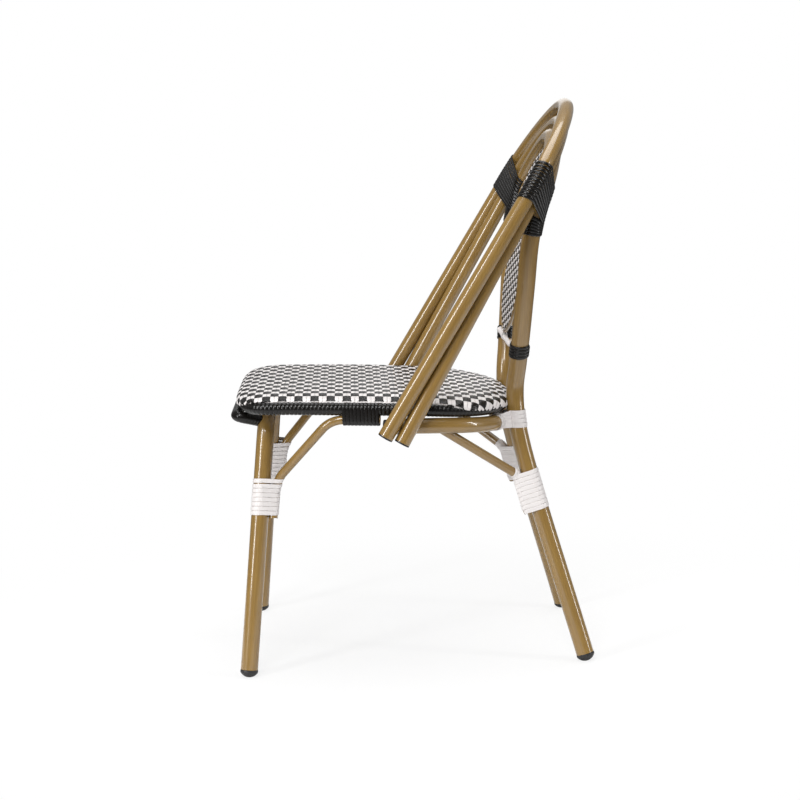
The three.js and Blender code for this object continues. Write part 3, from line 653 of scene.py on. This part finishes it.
class Nodes:
    """Makes one material's node tree."""

    def __init__(self, name):
        self.material = bpy.data.materials.new(name)
        self.material.use_nodes = True
        self.tree = self.material.node_tree
        self.shader = self.tree.nodes["Principled BSDF"]

    def new(self, kind, **settings):
        node = self.tree.nodes.new(kind)
        for key, value in settings.items():
            setattr(node, key, value)
        return node

    def link(self, a, b):
        self.tree.links.new(a, b)

    def uv(self, scale_round, scale_along):
        source = self.new("ShaderNodeUVMap", uv_map="lengths")
        mapping = self.new("ShaderNodeMapping")
        mapping.inputs["Scale"].default_value = (scale_round, scale_along, 1)
        self.link(source.outputs["UV"], mapping.inputs["Vector"])
        return mapping.outputs["Vector"]

    def noise(self, vector, scale, detail, rough=0.5):
        node = self.new("ShaderNodeTexNoise")
        node.inputs["Scale"].default_value = scale
        node.inputs["Detail"].default_value = detail
        node.inputs["Roughness"].default_value = rough
        self.link(vector, node.inputs["Vector"])
        return node.outputs["Fac"]

    def object_noise(self, scale, detail):
        source = self.new("ShaderNodeTexCoord")
        return self.noise(source.outputs["Object"], scale, detail)

    def spread(self, value, low, high, out_low, out_high):
        return map_range(self.tree, value, (low, high, out_low, out_high))

    def math(self, kind, a, b):
        node = self.new("ShaderNodeMath", operation=kind)
        for socket, value in zip(node.inputs, (a, b)):
            if isinstance(value, (int, float)):
                socket.default_value = value
            else:
                self.link(value, socket)
        return node.outputs[0]

    def blend(self, factor, a, b):
        node = self.new("ShaderNodeMix", data_type="RGBA")
        self.link(factor, node.inputs[0])
        for socket, value in ((node.inputs[6], a), (node.inputs[7], b)):
            if isinstance(value, tuple):
                socket.default_value = (*value, 1)
            else:
                self.link(value, socket)
        return node.outputs[2]

    def tone(self):
        node = self.new("ShaderNodeAttribute", attribute_name="tone")
        return node.outputs["Fac"]

    def bump(self, height, strength, distance):
        node = self.new("ShaderNodeBump")
        node.inputs["Strength"].default_value = strength
        node.inputs["Distance"].default_value = distance
        self.link(height, node.inputs["Height"])
        self.link(node.outputs["Normal"], self.shader.inputs["Normal"])

    def set(self, **values):
        for key, value in values.items():
            self.shader.inputs[key.replace("_", " ")].default_value = value


def make_paint(name, dark, mid, light):
    """Gloss paint with fine streaks along the tube."""
    m = Nodes(name)
    streak = m.noise(m.uv(0.55, 0.012), 1.0, 6.0, 0.65)
    fine = m.noise(m.uv(2.2, 0.03), 1.0, 3.0, 0.6)
    patch = m.object_noise(14.0, 2.0)
    body = m.blend(m.spread(streak, 0.35, 0.68, 0, 1), dark, light)
    body = m.blend(m.spread(fine, 0.3, 0.7, 0.25, 0.75), body, mid)
    body = m.blend(m.spread(patch, 0.3, 0.7, 0.0, 0.25), body, dark)
    m.link(body, m.shader.inputs["Base Color"])
    m.link(m.spread(fine, 0.3, 0.7, 0.26, 0.36), m.shader.inputs["Roughness"])
    m.bump(m.math("ADD", fine, m.object_noise(90.0, 2.0)), 0.035, 0.0004)
    m.set(Coat_Weight=0.8, Coat_Roughness=0.07, IOR=1.5)
    return m.material


def make_strand(name, dark, light, rough_low, rough_high, coat, specular=0.5):
    """A plastic strand with a grain along it, each strand of its own tone."""
    m = Nodes(name)
    line = m.noise(m.uv(1.6, 0.05), 1.0, 4.0, 0.6)
    patch = m.object_noise(45.0, 3.0)
    shade = m.math("ADD", m.math("MULTIPLY", line, 0.5), m.math("MULTIPLY", m.tone(), 0.5))
    body = m.blend(m.spread(shade, 0.25, 0.75, 0, 1), dark, light)
    m.link(body, m.shader.inputs["Base Color"])
    m.link(m.spread(patch, 0.3, 0.7, rough_low, rough_high), m.shader.inputs["Roughness"])
    m.bump(m.math("ADD", line, m.math("MULTIPLY", patch, 0.5)), 0.25, 0.0003)
    m.set(Coat_Weight=coat, Coat_Roughness=0.15, IOR=1.5, Specular_IOR_Level=specular)
    return m.material


def make_plastic(name):
    m = Nodes(name)
    grain = m.object_noise(900.0, 3.0)
    patch = m.object_noise(60.0, 2.0)
    body = m.blend(m.spread(patch, 0.3, 0.7, 0, 1), (0.009, 0.009, 0.009), (0.02, 0.019, 0.019))
    m.link(body, m.shader.inputs["Base Color"])
    m.link(m.spread(grain, 0.3, 0.7, 0.42, 0.6), m.shader.inputs["Roughness"])
    m.bump(grain, 0.3, 0.0002)
    return m.material


tan_paint = make_paint(
    "tan_paint", (0.170, 0.094, 0.019), (0.252, 0.147, 0.035), (0.335, 0.210, 0.060)
)
# Painted shade: the back rim's paint is the tan paint made darker, to stand for the shade in the gap
# between the rear hoop and the panel
rim_paint = make_paint("rim_paint", (0.15, 0.085, 0.02), (0.22, 0.13, 0.034), (0.28, 0.175, 0.05))
black_strand = make_strand(
    "black_strand", (0.0035, 0.003, 0.0027), (0.009, 0.008, 0.0072), 0.2, 0.28, 0.0, 0.34
)
white_strand = make_strand(
    "white_strand", (0.64, 0.605, 0.595), (0.76, 0.725, 0.715), 0.38, 0.52, 0.1
)
black_plastic = make_plastic("black_plastic")


# Pieces

rng = np.random.default_rng(7)
# Material and slot together
PLASTIC = black_plastic, "black_plastic"
BLACK, WHITE = (black_strand, "black_wicker"), (white_strand, "white_wicker")


def tube_piece(name, route, radius, nodes, material=tan_paint, slot="paint", **options):
    b = Builder()
    b.add(tube_rows(route, radius, **options), closed=options.get("closed", False))
    return b.build(name, material, nodes, slot, sharp=60)


def pair(name, rows_left, material, slot, sharp=60):
    """A piece on the sitter's left and its mirror image on the right."""
    for side, flip in (("left", 1), ("right", MIRROR)):
        b = Builder()
        for rows in rows_left:
            b.add(rows * flip)
        b.build(f"{name}_{side}", material, [f"{name}_{side}"], slot, sharp)


def fine(route, spacing=6.0):
    """Straight runs cut up as finely as bends, so that patterns along the tube hold."""
    s = lengths(route)
    keep = [0.0]
    for a, b in zip(s, s[1:]):
        n = max(1, int(math.ceil((b - a) / spacing)))
        keep += list(a + (b - a) * np.arange(1, n + 1) / n)
    return np.stack([np.interp(keep, s, route[:, k]) for k in range(3)], 1)


tube_piece("front_leg_tube", fine(both_sides(front_half)), LEG, ["front_leg_frame"])
tube_piece("rear_tube", fine(both_sides(rear_half)), REAR, ["rear_hoop"])
tube_piece(
    "outer_hoop_tube", fine(run_on(both_sides(outer_half), -CAP_THICK)), HOOP, ["outer_brace_hoop"]
)
tube_piece(
    "inner_hoop_tube", fine(run_on(both_sides(inner_half), -CAP_THICK)), HOOP, ["inner_brace_hoop"]
)
tube_piece("seat_ring_tube", ring_route, RING, ["seat_ring"], closed=True, lead=Z)
tube_piece("front_rail_tube", both_sides(front_rail_half), FRONT_RAIL, ["front_rail"])
tube_piece("seat_rail_tube", fine(run_on(both_sides(rail_half), -CAP_THICK)), RAIL, ["seat_rail"])
tube_piece("cross_bar_tube", bar_route, BAR, ["cross_bar"], sides=20)
# The back rim takes the darker paint, which is painted shade
tube_piece(
    "back_rim_tube",
    rim_route,
    RIM,
    ["back_rim"],
    material=rim_paint,
    slot="rim_paint",
    closed=True,
    sides=20,
    lead=back_facing,
)
pair("front_brace", [tube_rows(fine(front_brace), BRACE)], tan_paint, "paint")
pair("rear_brace", [tube_rows(fine(rear_brace), BRACE)], tan_paint, "paint")


def cap_rows(face, inward_way, radius):
    bend = [
        (radius - CAP_EDGE + CAP_EDGE * math.sin(a), CAP_EDGE - CAP_EDGE * math.cos(a))
        for a in np.linspace(0, math.pi / 2, 7)
    ]
    back = [(radius, CAP_THICK), (radius - 2, CAP_THICK), (0, CAP_THICK)]
    return lathe_rows([(0, 0), (radius * 0.5, 0), *bend, *back], face, inward_way)


def glide_rows(foot, up, radius):
    rim = radius + GLIDE_LIP
    centre = foot + up * (GLIDE_CENTRE / up[2])
    ball = [
        (r, -math.sqrt(GLIDE_BALL**2 - r * r))
        for r in rim * np.sin(np.linspace(0, math.pi / 2, 16))
    ]
    shoulder = -GLIDE_SHOULDER / up[2]
    profile = [
        *ball,
        (rim, shoulder - 0.6),
        (rim - 0.2, shoulder - 0.15),
        (rim - 0.6, shoulder),
        (0, shoulder),
    ]
    rows = lathe_rows(profile, centre, up)
    rows[..., 2] = np.maximum(rows[..., 2], 0)
    return rows


for name, half, radius in (
    ("outer_hoop_cap", outer_half, HOOP),
    ("inner_hoop_cap", inner_half, HOOP),
    ("seat_rail_cap", rail_half, RAIL),
):
    pair(name, [cap_rows(half[0], unit(half[1] - half[0]), radius)], *PLASTIC, sharp=35)
for name, rows in (
    ("front_glide", glide_rows(front_foot, front_up, LEG)),
    ("rear_glide", glide_rows(rear_foot, rear_up, REAR)),
):
    pair(name, [rows], *PLASTIC, sharp=40)

# Windings: where each starts and ends, mostly heights
FRONT_WRAP_FOOT, REAR_WRAP_SPAN = 244, (236, 304)
LASHING_OUTER, LASHING_REAR, LASHING_FOOT = (728, 780), (694, 750), (675.5, 695)
BAND_SPAN, RAIL_WRAP_SPAN = (480.5, 501.0), (137, 112)
STRAP_LEVELS = 370.8, 377.5, 384.2, 390.9
front_leg_set = [(front_half, LEG), (front_brace, BRACE)]
rear_leg_set = [(rear_half, REAR), (rear_brace, BRACE)]


def spaced(start, end, size, t):
    inset = math.copysign(size / 2 + 0.2, end - start)
    return mix(start + inset, end - inset, t)


def leg_guide(half, low, high, normal, lead, slit=0.0):
    """Slices up a leg, with the top turn set off from the others by a slit."""

    def guide(t):
        level = spaced(low, high, STRIP, t)
        level += slit * smooth(t, 0.86, 0.93) - slit * t * 0.5
        return at(half, 2, level), normal, lead

    return guide


for side, flip, turns, top, slit in (("left", 1, 8, 307, 1.2), ("right", MIRROR, 9, 315, 0.0)):
    b = Builder()
    guide = leg_guide(front_half, FRONT_WRAP_FOOT, top, front_up, Y, slit)
    b.add(winding(guide, front_leg_set, turns, 6.7, STRIP_THICK, power=4) * flip)
    b.build(f"front_leg_wrap_{side}", white_strand, [f"front_leg_wrap_{side}"], "white_wicker")
pair(
    "rear_leg_wrap",
    [
        winding(
            leg_guide(rear_half, *REAR_WRAP_SPAN, rear_up, tail_out),
            rear_leg_set,
            turns=9,
            width=STRIP,
            thick=STRIP_THICK,
            power=4,
        ),
        helix(fine(rear_brace, 2), BRACE, 6.4, 6.8, STRIP_THICK, start=56, end=72, power=4),
    ],
    *WHITE,
)


def lashing_guide(t):
    outer = at(outer_half, 2, mix(*LASHING_OUTER, t))
    rear = at(rear_half, 2, mix(*LASHING_REAR, t))
    lead = unit(outer - rear)
    return mix(rear, outer, 0.5), unit(np.cross(hoop_facing, lead)), lead


def foot_guide(t):
    centre, heading = crossing(rear_half, rear_half[:, 2], mix(*LASHING_FOOT, t))
    tilted = lashing_guide(0)[1]
    return centre, unit(mix(heading, tilted * np.sign(tilted @ heading), t)), Y


pair(
    "shoulder_lashing",
    [
        winding(
            lashing_guide,
            [(rear_half, REAR), (outer_half, HOOP), (inner_half, HOOP)],
            turns=11,
            width=5.3,
            thick=STRAND_THICK,
            steps=80,
            power=2.0,
            phase=math.pi,
        ),
        winding(foot_guide, [(rear_half, REAR)], 6, 5.6, STRAND_THICK, phase=math.pi / 2),
    ],
    *BLACK,
)


def band_guide(t):
    centre, heading = crossing(rear_half, rear_half[:, 2], mix(*BAND_SPAN, t))
    return centre, heading, Y


pair(
    "upright_band",
    [winding(band_guide, [(rear_half, REAR)], 4, 5.4, STRAND_THICK)],
    *BLACK,
)


WRAP_FRONT_Y, WRAP_REAR_Y = -111, -49


def side_guide(t):
    return at(ring_half, 1, spaced(WRAP_FRONT_Y, WRAP_REAR_Y, STRAND, t)), Y, Z


pair(
    "side_wrap",
    [winding(side_guide, [(ring_half, RING), (front_brace, BRACE)], 10, 5.9, STRAND_THICK)],
    *BLACK,
)


def rail_guide(t):
    centre, heading = crossing(rail_half, rail_half[:, 0], mix(*RAIL_WRAP_SPAN, t))
    return centre, heading, Z


# How far out of the rail's face a strap starts, and the turn that it takes round the upright
STRAP_LIFT, STRAP_ARC = 1.2, (-38, 205)
STRAP_START_X, STRAP_WIDTH = 130, 7.0


def strap_rows():
    """Strips from the rail's wrap round the outside and back of the upright."""
    rows = []
    for level in STRAP_LEVELS:
        centre = at(rear_half, 2, level)
        reach = REAR + 0.3 + STRIP_THICK / 2
        angles = np.radians(np.linspace(*STRAP_ARC, 44))
        arc = centre + reach * (np.cos(angles)[:, None] * X + np.sin(angles)[:, None] * Y)
        near = at(rail_half, 0, STRAP_START_X) + unit(vec(0.75, -0.2, 0)) * (RAIL + STRAP_LIFT)
        near[2] = mix(level, near[2], 0.35)
        far = vec(centre[0] - reach - 1, rail_back[1] - 2, mix(level, rail_back[2], 0.4))
        run = np.linspace(0, 1, 8)[:, None]
        path = np.vstack([mix(near, arc[0], run[:-1]), arc, mix(arc[-1], far, run[1:])])
        heads = headings(path)
        across = Z - heads * (heads @ Z)[:, None]
        across /= np.linalg.norm(across, axis=1)[:, None]
        section = oval(STRAP_WIDTH, STRIP_THICK, power=4)
        rows.append(strand_rows(path, across, np.cross(heads, across), section))
    return rows


pair(
    "rail_wrap",
    [
        winding(rail_guide, [(rail_half, RAIL)], 4, 6.4, STRIP_THICK, power=4),
        *strap_rows(),
    ],
    *WHITE,
)

# Edge binding: a close winding round the ring, in front of the side wraps and behind them
BINDING_PITCH, BINDING_WIDTH, BINDING_SLANT = 6.15, 6.1, 2.2
BINDING_END = -196
# How deep each strand dives at its top and its end, and over how many degrees
TOP_DIVE, END_DIVE = (1.5, 14), (1.2, 20)


def binding_rows(start, end):
    """Turns round the ring's outside and underside between two lengths along it."""
    rows = []
    count = int(round((end - start) / BINDING_PITCH))
    for k in range(count):
        s = start + (k + 0.5) * (end - start) / count
        centre, _ = ring_at(np.array(s))
        top = roll_angle(centre[1]) + 7
        degrees = np.linspace(top, BINDING_END, 34)
        sweep = s + (degrees + 60) / 360 * BINDING_SLANT
        dive = TOP_DIVE[0] * (1 - smooth(top - degrees, 0, TOP_DIVE[1]))
        dive += END_DIVE[0] * (1 - smooth(degrees - BINDING_END, 0, END_DIVE[1]))
        path, facing = round_ring(sweep, degrees, RING + 0.15 + STRAND_THICK / 2 - dive)
        ahead, _ = round_ring(sweep + 1.0, degrees, RING + 1.15 - dive)
        across = ahead - path
        spread = np.linalg.norm(across, axis=1)[:, None]
        across = across / spread * np.clip(spread * 1.02, 0.75, 1.6)
        rows.append(strand_rows(path, across, facing, oval(BINDING_WIDTH, STRAND_THICK, 10, 2.4)))
    return rows


def ring_place(y):
    """The length along the left half of the ring to a depth."""
    sides = (ring_half[:, 0] > 150) | (ring_half[:, 1] > 0)
    measured = np.where(sides, ring_half[:, 1], -400)
    s = lengths(ring_half)
    i = np.flatnonzero((measured[:-1] < y) & (measured[1:] >= y))[0]
    return mix(s[i], s[i + 1], (y - measured[i]) / (measured[i + 1] - measured[i]))


wrap_front, wrap_rear = ring_place(WRAP_FRONT_Y), ring_place(WRAP_REAR_Y)
FRONT_OVERLAP, REAR_OVERLAP = 1.5, 5.5
rear_span = wrap_rear - REAR_OVERLAP, ring_total - wrap_rear + REAR_OVERLAP
front_span = -wrap_front - FRONT_OVERLAP, wrap_front + FRONT_OVERLAP
for name, node, span in (
    ("seat_front_winding", "seat_front_binding", front_span),
    ("seat_rear_winding", "seat_rear_binding", rear_span),
):
    b = Builder()
    for rows in binding_rows(*span):
        b.add(rows, tone=rng.uniform(0.2, 0.8))
    b.build(name, black_strand, [node], "black_wicker", sharp=60)

b = Builder()
route = fine(both_sides(front_rail_half), 3)
total = lengths(route)[-1]
b.add(helix(route, FRONT_RAIL, 5.1, 6.2, STRAND_THICK, start=8, end=total - 8))
b.build("front_rail_winding", black_strand, ["front_rail_binding"], "black_wicker")

b = Builder()
route = fine(bar_route, 2)
total = lengths(route)[-1]
b.add(helix(route, BAR, 5.0, 4.8, 1.0, start=10, end=total - 10, steps=22, power=3.5))
b.build("cross_bar_winding", white_strand, ["cross_bar_binding"], "white_wicker")

# Seat weave
CELL_X, CELL_Y = 21.74, 12.3
ROW_PHASE = -261.6
WEAVE_MIDDLE = 11.4
LIFT = 1.15
LEAVE = 77.0
CROWN, CROWN_REACH = 4.6, 40.0
SEAT_STEP, BACK_STEP = 1.25, 0.8
# How far past the sheet's edge a strand runs, in degrees, and how its ends dive
PAST_EDGE, SHORTEST = -4.5, 10
DIVE_DEPTH, DIVE_LENGTH = 1.4, 3.2
HALF_WIDTH_REACH, HALF_DEPTH_REACH = 232.0, 300.0

leave_out = WEAVE_MIDDLE * math.cos(math.radians(LEAVE))
leave_loop = (ring_closed + ring_out_closed * leave_out)[:, :2]
loop_steps = np.diff(leave_loop, axis=0)
loop_squares = (loop_steps**2).sum(1)
seat_centre = (SEAT_FRONT + SEAT_REAR) / 2


def edge_of(points):
    """How far outside the loop where the sheet leaves the ring, and the length along the ring.

    The points are in plan, and the distance is negative inside the loop.
    """
    rel = points[:, None] - leave_loop[None, :-1]
    share = np.clip((rel * loop_steps).sum(2) / loop_squares, 0, 1)
    away = np.linalg.norm(rel - share[..., None] * loop_steps, axis=2)
    i = away.argmin(1)
    pick = np.arange(len(points))
    step = loop_steps[i]
    side = rel[pick, i]
    turn = step[:, 0] * side[:, 1] - step[:, 1] * side[:, 0]
    s = mix(ring_lengths[i], ring_lengths[i + 1], share[pick, i])
    return -np.sign(turn) * away[pick, i], s


def seat_surface(points):
    """The sheet's middle at points in plan, the way out of it, and its degrees from its edge."""
    d, s = edge_of(points)
    degrees = LEAVE - np.degrees(np.maximum(d, 0) / WEAVE_MIDDLE)
    rolled, facing = round_ring(s, degrees, np.full(len(points), WEAVE_MIDDLE))
    rise = 1 - (1 - np.clip(-d / CROWN_REACH, 0, 1)) ** 2
    centre, out = ring_at(s)
    base = seat_height(points[:, 1]) + WEAVE_MIDDLE * math.sin(math.radians(LEAVE))
    flat = np.column_stack([points, base + CROWN * rise])
    slope = 2 * CROWN / CROWN_REACH * (1 - np.clip(-d / CROWN_REACH, 0, 1))
    up = out * slope[:, None] + Z
    up /= np.linalg.norm(up, axis=1)[:, None]
    inside = (d < 0)[:, None]
    past = degrees - roll_angle(centre[:, 1])
    return np.where(inside, flat, rolled), np.where(inside, up, facing), past


def turn_sign(i, j):
    """1 where the white strand lies over, -1 where the black one does."""
    return np.where((i + j) % 2 == 0, -1, 1)


FLATNESS = 2.2


def wave(position, cell):
    """From 0 at a cell's edges to 1 over its middle."""
    s = np.sin(math.pi * np.mod(position / cell, 1))
    return np.tanh(FLATNESS * s) / math.tanh(FLATNESS)


def on_sheet(path, outs, section):
    """A strand along a path that stays flat to a sheet, given the way out of the sheet."""
    heads = headings(path)
    across = np.cross(outs, heads)
    across /= np.linalg.norm(across, axis=1)[:, None]
    return strand_rows(path, across, np.cross(heads, across), section)


def seat_strand(along_x, fixed, section):
    """One strand across or along the seat, as runs that stay on the sheet."""
    reach = HALF_WIDTH_REACH if along_x else HALF_DEPTH_REACH
    middle = 0.0 if along_x else seat_centre
    t = np.arange(middle - reach, middle + reach, SEAT_STEP)
    held = np.full_like(t, fixed)
    points = np.column_stack([t, held] if along_x else [held, t])
    centres, outs, past = seat_surface(points)
    on = past > PAST_EDGE
    edges = np.flatnonzero(np.diff(np.concatenate([[0], on.astype(int), [0]])))
    for a, z in zip(edges[::2], edges[1::2]):
        if z - a < SHORTEST:
            continue
        p, o, q = centres[a:z], outs[a:z], points[a:z]
        i = np.floor(q[:, 0] / CELL_X + 0.5)
        j = np.floor((q[:, 1] - ROW_PHASE) / CELL_Y + 0.5)
        over = turn_sign(i, j)
        if along_x:
            height = LIFT * over * wave(q[:, 0] + CELL_X / 2, CELL_X)
        else:
            height = -LIFT * over * wave(q[:, 1] - ROW_PHASE + CELL_Y / 2, CELL_Y)
        n = np.arange(z - a)
        end = np.minimum(n, n[::-1]) * SEAT_STEP
        height = height - DIVE_DEPTH * (1 - smooth(end, 0, DIVE_LENGTH))
        yield on_sheet(p + o * height[:, None], o, section)


def woven(strand, along_x, cells, sides, cell, start, section):
    """A mesh of all the strands one way, at shares of each cell either side of its middle."""
    b = Builder()
    for i in cells:
        for side in sides:
            for rows in strand(along_x, start + (i + side) * cell, section):
                b.add(rows, tone=rng.uniform(0.2, 0.8))
    return b


QUARTERS = (-0.375, -0.125, 0.125, 0.375)
white_b = woven(
    seat_strand, True, range(-2, 36), (-0.25, 0.25), CELL_Y, ROW_PHASE, oval(5.95, 1.35, 10, 3.4)
)
black_b = woven(
    seat_strand, False, range(-10, 11), QUARTERS, CELL_X, 0, oval(5.25, 1.5, 8, 2.4)
)
white_b.build("seat_weave_white", white_strand, ["seat_weave"], "seat_wicker")
black_b.build("seat_weave_black", black_strand, ["seat_weave"], "black_wicker")

# Back weave
BACK_CELL_X, BACK_CELL_S = 24.5, 6.1
BACK_LIFT, SHORTEST_ROW, FEWEST_STEPS = 0.95, 4, 8

profile = rim_half[:, 1:]
profile_s = lengths(np.column_stack([np.zeros(len(profile)), profile]))
profile_steps = np.gradient(profile, axis=0)
profile_out = np.column_stack([-profile_steps[:, 1], profile_steps[:, 0]])
profile_out /= np.linalg.norm(profile_out, axis=1)[:, None]


def back_surface(x, s):
    """The sheet's middle and the way out of its front, at a width and a length up its profile."""
    y, z = (np.interp(s, profile_s, profile[:, k]) for k in range(2))
    out_y, out_z = (np.interp(s, profile_s, profile_out[:, k]) for k in range(2))
    out = np.stack([np.zeros_like(y), out_y, out_z], -1)
    return np.stack([x, y, z], -1), out / np.linalg.norm(out, axis=-1, keepdims=True)


rim_width = rim_half[:, 0]


def back_strand(along_x, fixed, section):
    if along_x:
        limit = np.interp(fixed, profile_s, rim_width)
        if limit < SHORTEST_ROW:
            return
        x = np.arange(-limit, limit + 0.01, 2 * limit / max(FEWEST_STEPS, int(2 * limit / BACK_STEP)))
        s = np.full_like(x, fixed)
    else:
        inside = np.flatnonzero(rim_width > abs(fixed))
        if len(inside) < 3:
            return
        low, high = profile_s[inside[0]], profile_s[inside[-1]]
        s = np.linspace(low, high, max(FEWEST_STEPS, int((high - low) / BACK_STEP)))
        x = np.full_like(s, fixed)
    p, o = back_surface(x, s)
    i = np.floor(x / BACK_CELL_X + 0.5)
    j = np.floor(s / BACK_CELL_S)
    over = turn_sign(i, j)
    if along_x:
        height = BACK_LIFT * over * wave(x + BACK_CELL_X / 2, BACK_CELL_X)
    else:
        height = -BACK_LIFT * over * wave(s, BACK_CELL_S)
    yield on_sheet(p + o * height[:, None], o, section)


FIFTHS = (-0.4, -0.2, 0, 0.2, 0.4)
back_rows = range(int(profile_s[-1] / BACK_CELL_S))
white_b = woven(back_strand, True, back_rows, (0.5,), BACK_CELL_S, 0, oval(5.9, 1.15, 10, 3))
black_b = woven(
    back_strand, False, range(-7, 8), FIFTHS, BACK_CELL_X, 0, oval(4.75, 1.2, 8, 2.6)
)
panel_foot = both_sides(rim_half[:12][::-1])
white_b.add(
    winding(
        lambda t: (vec(mix(-5, 5, t), BAR_Y, 502), X, Z),
        [(bar_route, BAR + 1.2), (panel_foot, RIM)],
        turns=3,
        width=2.6,
        thick=0.9,
        steps=40,
    )
)
white_b.build("back_weave_white", white_strand, ["back_weave"], "white_wicker")
black_b.build("back_weave_black", black_strand, ["back_weave"], "black_wicker")

# Studio
scene = bpy.context.scene
scene.view_settings.view_transform = "Standard"

yaw, pitch, roll = 0.02344, 0.14887, -0.02244
CAMERA_PLACE, LENS, SENSOR = vec(3067.97, -87.88, 858.70), 85.5, 36
forward = vec(
    -math.cos(yaw) * math.cos(pitch), math.sin(yaw) * math.cos(pitch), -math.sin(pitch)
)
level = vec(math.sin(yaw), math.cos(yaw), 0)
upright = np.cross(level, forward)
right = level * math.cos(roll) + upright * math.sin(roll)
upward = -level * math.sin(roll) + upright * math.cos(roll)
camera_data = bpy.data.cameras.new("camera")
camera_data.lens = LENS
camera_data.sensor_width = SENSOR
camera_data.clip_start, camera_data.clip_end = 0.1, 60
camera = bpy.data.objects.new("camera", camera_data)
turn = Matrix((right, upward, -forward)).transposed().to_4x4()
camera.matrix_world = Matrix.Translation(CAMERA_PLACE * MM) @ turn
scene.collection.objects.link(camera)
scene.camera = camera


def lamp(name, place, aim, width, height, power):
    data = bpy.data.lights.new(name, "AREA")
    data.shape = "RECTANGLE"
    data.size, data.size_y = width, height
    data.energy = power
    light = bpy.data.objects.new(name, data)
    light.location = place
    light.rotation_euler = (Vector(aim) - Vector(place)).to_track_quat("-Z", "Y").to_euler()
    scene.collection.objects.link(light)


lamp("key", (2.6, -0.7, 2.7), (0, 0, 0.45), 1.2, 1.2, 64)
lamp("top", (-0.3, 0.1, 3.2), (0, 0.1, 0.5), 2.4, 2.4, 64)
lamp("front_strip", (2.0, -2.3, 1.2), (0, 0, 0.5), 0.45, 1.9, 54)
lamp("back_strip", (1.0, 2.8, 1.4), (0, 0.1, 0.5), 0.3, 1.9, 32)

def mixed_by_camera(tree, factor, unseen, seen, output):
    """Joins what lights the object and what the camera sees, and puts that out."""
    both = tree.nodes.new("ShaderNodeMixShader")
    out = tree.nodes.new(output)
    tree.links.new(factor, both.inputs[0])
    tree.links.new(unseen.outputs[0], both.inputs[1])
    tree.links.new(seen.outputs[0], both.inputs[2])
    tree.links.new(both.outputs[0], out.inputs["Surface"])


# The room: white to the camera, and for light bright on the far side with one window
world = bpy.data.worlds.new("white_room")
scene.world = world
world.use_nodes = True
tree = world.node_tree
tree.nodes.clear()
rays = tree.nodes.new("ShaderNodeLightPath")
seen, lit = (tree.nodes.new("ShaderNodeBackground") for _ in range(2))
seen.inputs["Strength"].default_value = 1.0
seen.inputs["Color"].default_value = lit.inputs["Color"].default_value = (1, 1, 1, 1)
coordinates = tree.nodes.new("ShaderNodeTexCoord").outputs["Generated"]
parts = tree.nodes.new("ShaderNodeSeparateXYZ")
tree.links.new(coordinates, parts.inputs[0])
window_way = tree.nodes.new("ShaderNodeVectorMath")
window_way.operation = "DOT_PRODUCT"
window_way.inputs[1].default_value = (-0.975, 0.08, 0.2)
tree.links.new(coordinates, window_way.inputs[0])
walls = map_range(tree, parts.outputs["X"], (-0.75, 0.45, 0.32, 0.12), "SMOOTHSTEP")
window = map_range(tree, window_way.outputs["Value"], (0.977, 0.993, 0, 0.92), "SMOOTHSTEP")
strength = tree.nodes.new("ShaderNodeMath")
tree.links.new(walls, strength.inputs[0])
tree.links.new(window, strength.inputs[1])
tree.links.new(strength.outputs[0], lit.inputs["Strength"])
mixed_by_camera(tree, rays.outputs["Is Camera Ray"], lit, seen, "ShaderNodeOutputWorld")

# The floor: pale paper near the chair, which the camera sees fade into the white
FLOOR_HALF = 14.0
corners = [(x * FLOOR_HALF, y * FLOOR_HALF, 0) for x, y in ((-1, -1), (1, -1), (1, 1), (-1, 1))]
floor_mesh = bpy.data.meshes.new("floor")
floor_mesh.from_pydata(corners, [], [(0, 1, 2, 3)])
floor = bpy.data.objects.new("floor", floor_mesh)
scene.collection.objects.link(floor)
paper = bpy.data.materials.new("paper")
paper.use_nodes = True
tree = paper.node_tree
tree.nodes.clear()
diffuse = tree.nodes.new("ShaderNodeBsdfDiffuse")
glow = tree.nodes.new("ShaderNodeEmission")
glow.inputs["Strength"].default_value = 1.0
rays = tree.nodes.new("ShaderNodeLightPath")
away = tree.nodes.new("ShaderNodeVectorMath")
away.operation = "LENGTH"
tree.links.new(tree.nodes.new("ShaderNodeTexCoord").outputs["Object"], away.inputs[0])
paleness = map_range(tree, away.outputs["Value"], (0.35, 0.95, 0.8, 1.0), "SMOOTHSTEP")
albedo = map_range(tree, away.outputs["Value"], (0.8, 1.6, 0.9, 0.18), "SMOOTHSTEP")
tree.links.new(albedo, diffuse.inputs["Color"])
share = tree.nodes.new("ShaderNodeMath")
share.operation = "MULTIPLY"
tree.links.new(rays.outputs["Is Camera Ray"], share.inputs[0])
tree.links.new(paleness, share.inputs[1])
mixed_by_camera(tree, share.outputs[0], diffuse, glow, "ShaderNodeOutputMaterial")
floor_mesh.materials.append(paper)
floor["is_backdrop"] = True

boxes = {"cad": cad_box, "visual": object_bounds()}
{k: [list(corner) for corner in box] for k, box in boxes.items()}
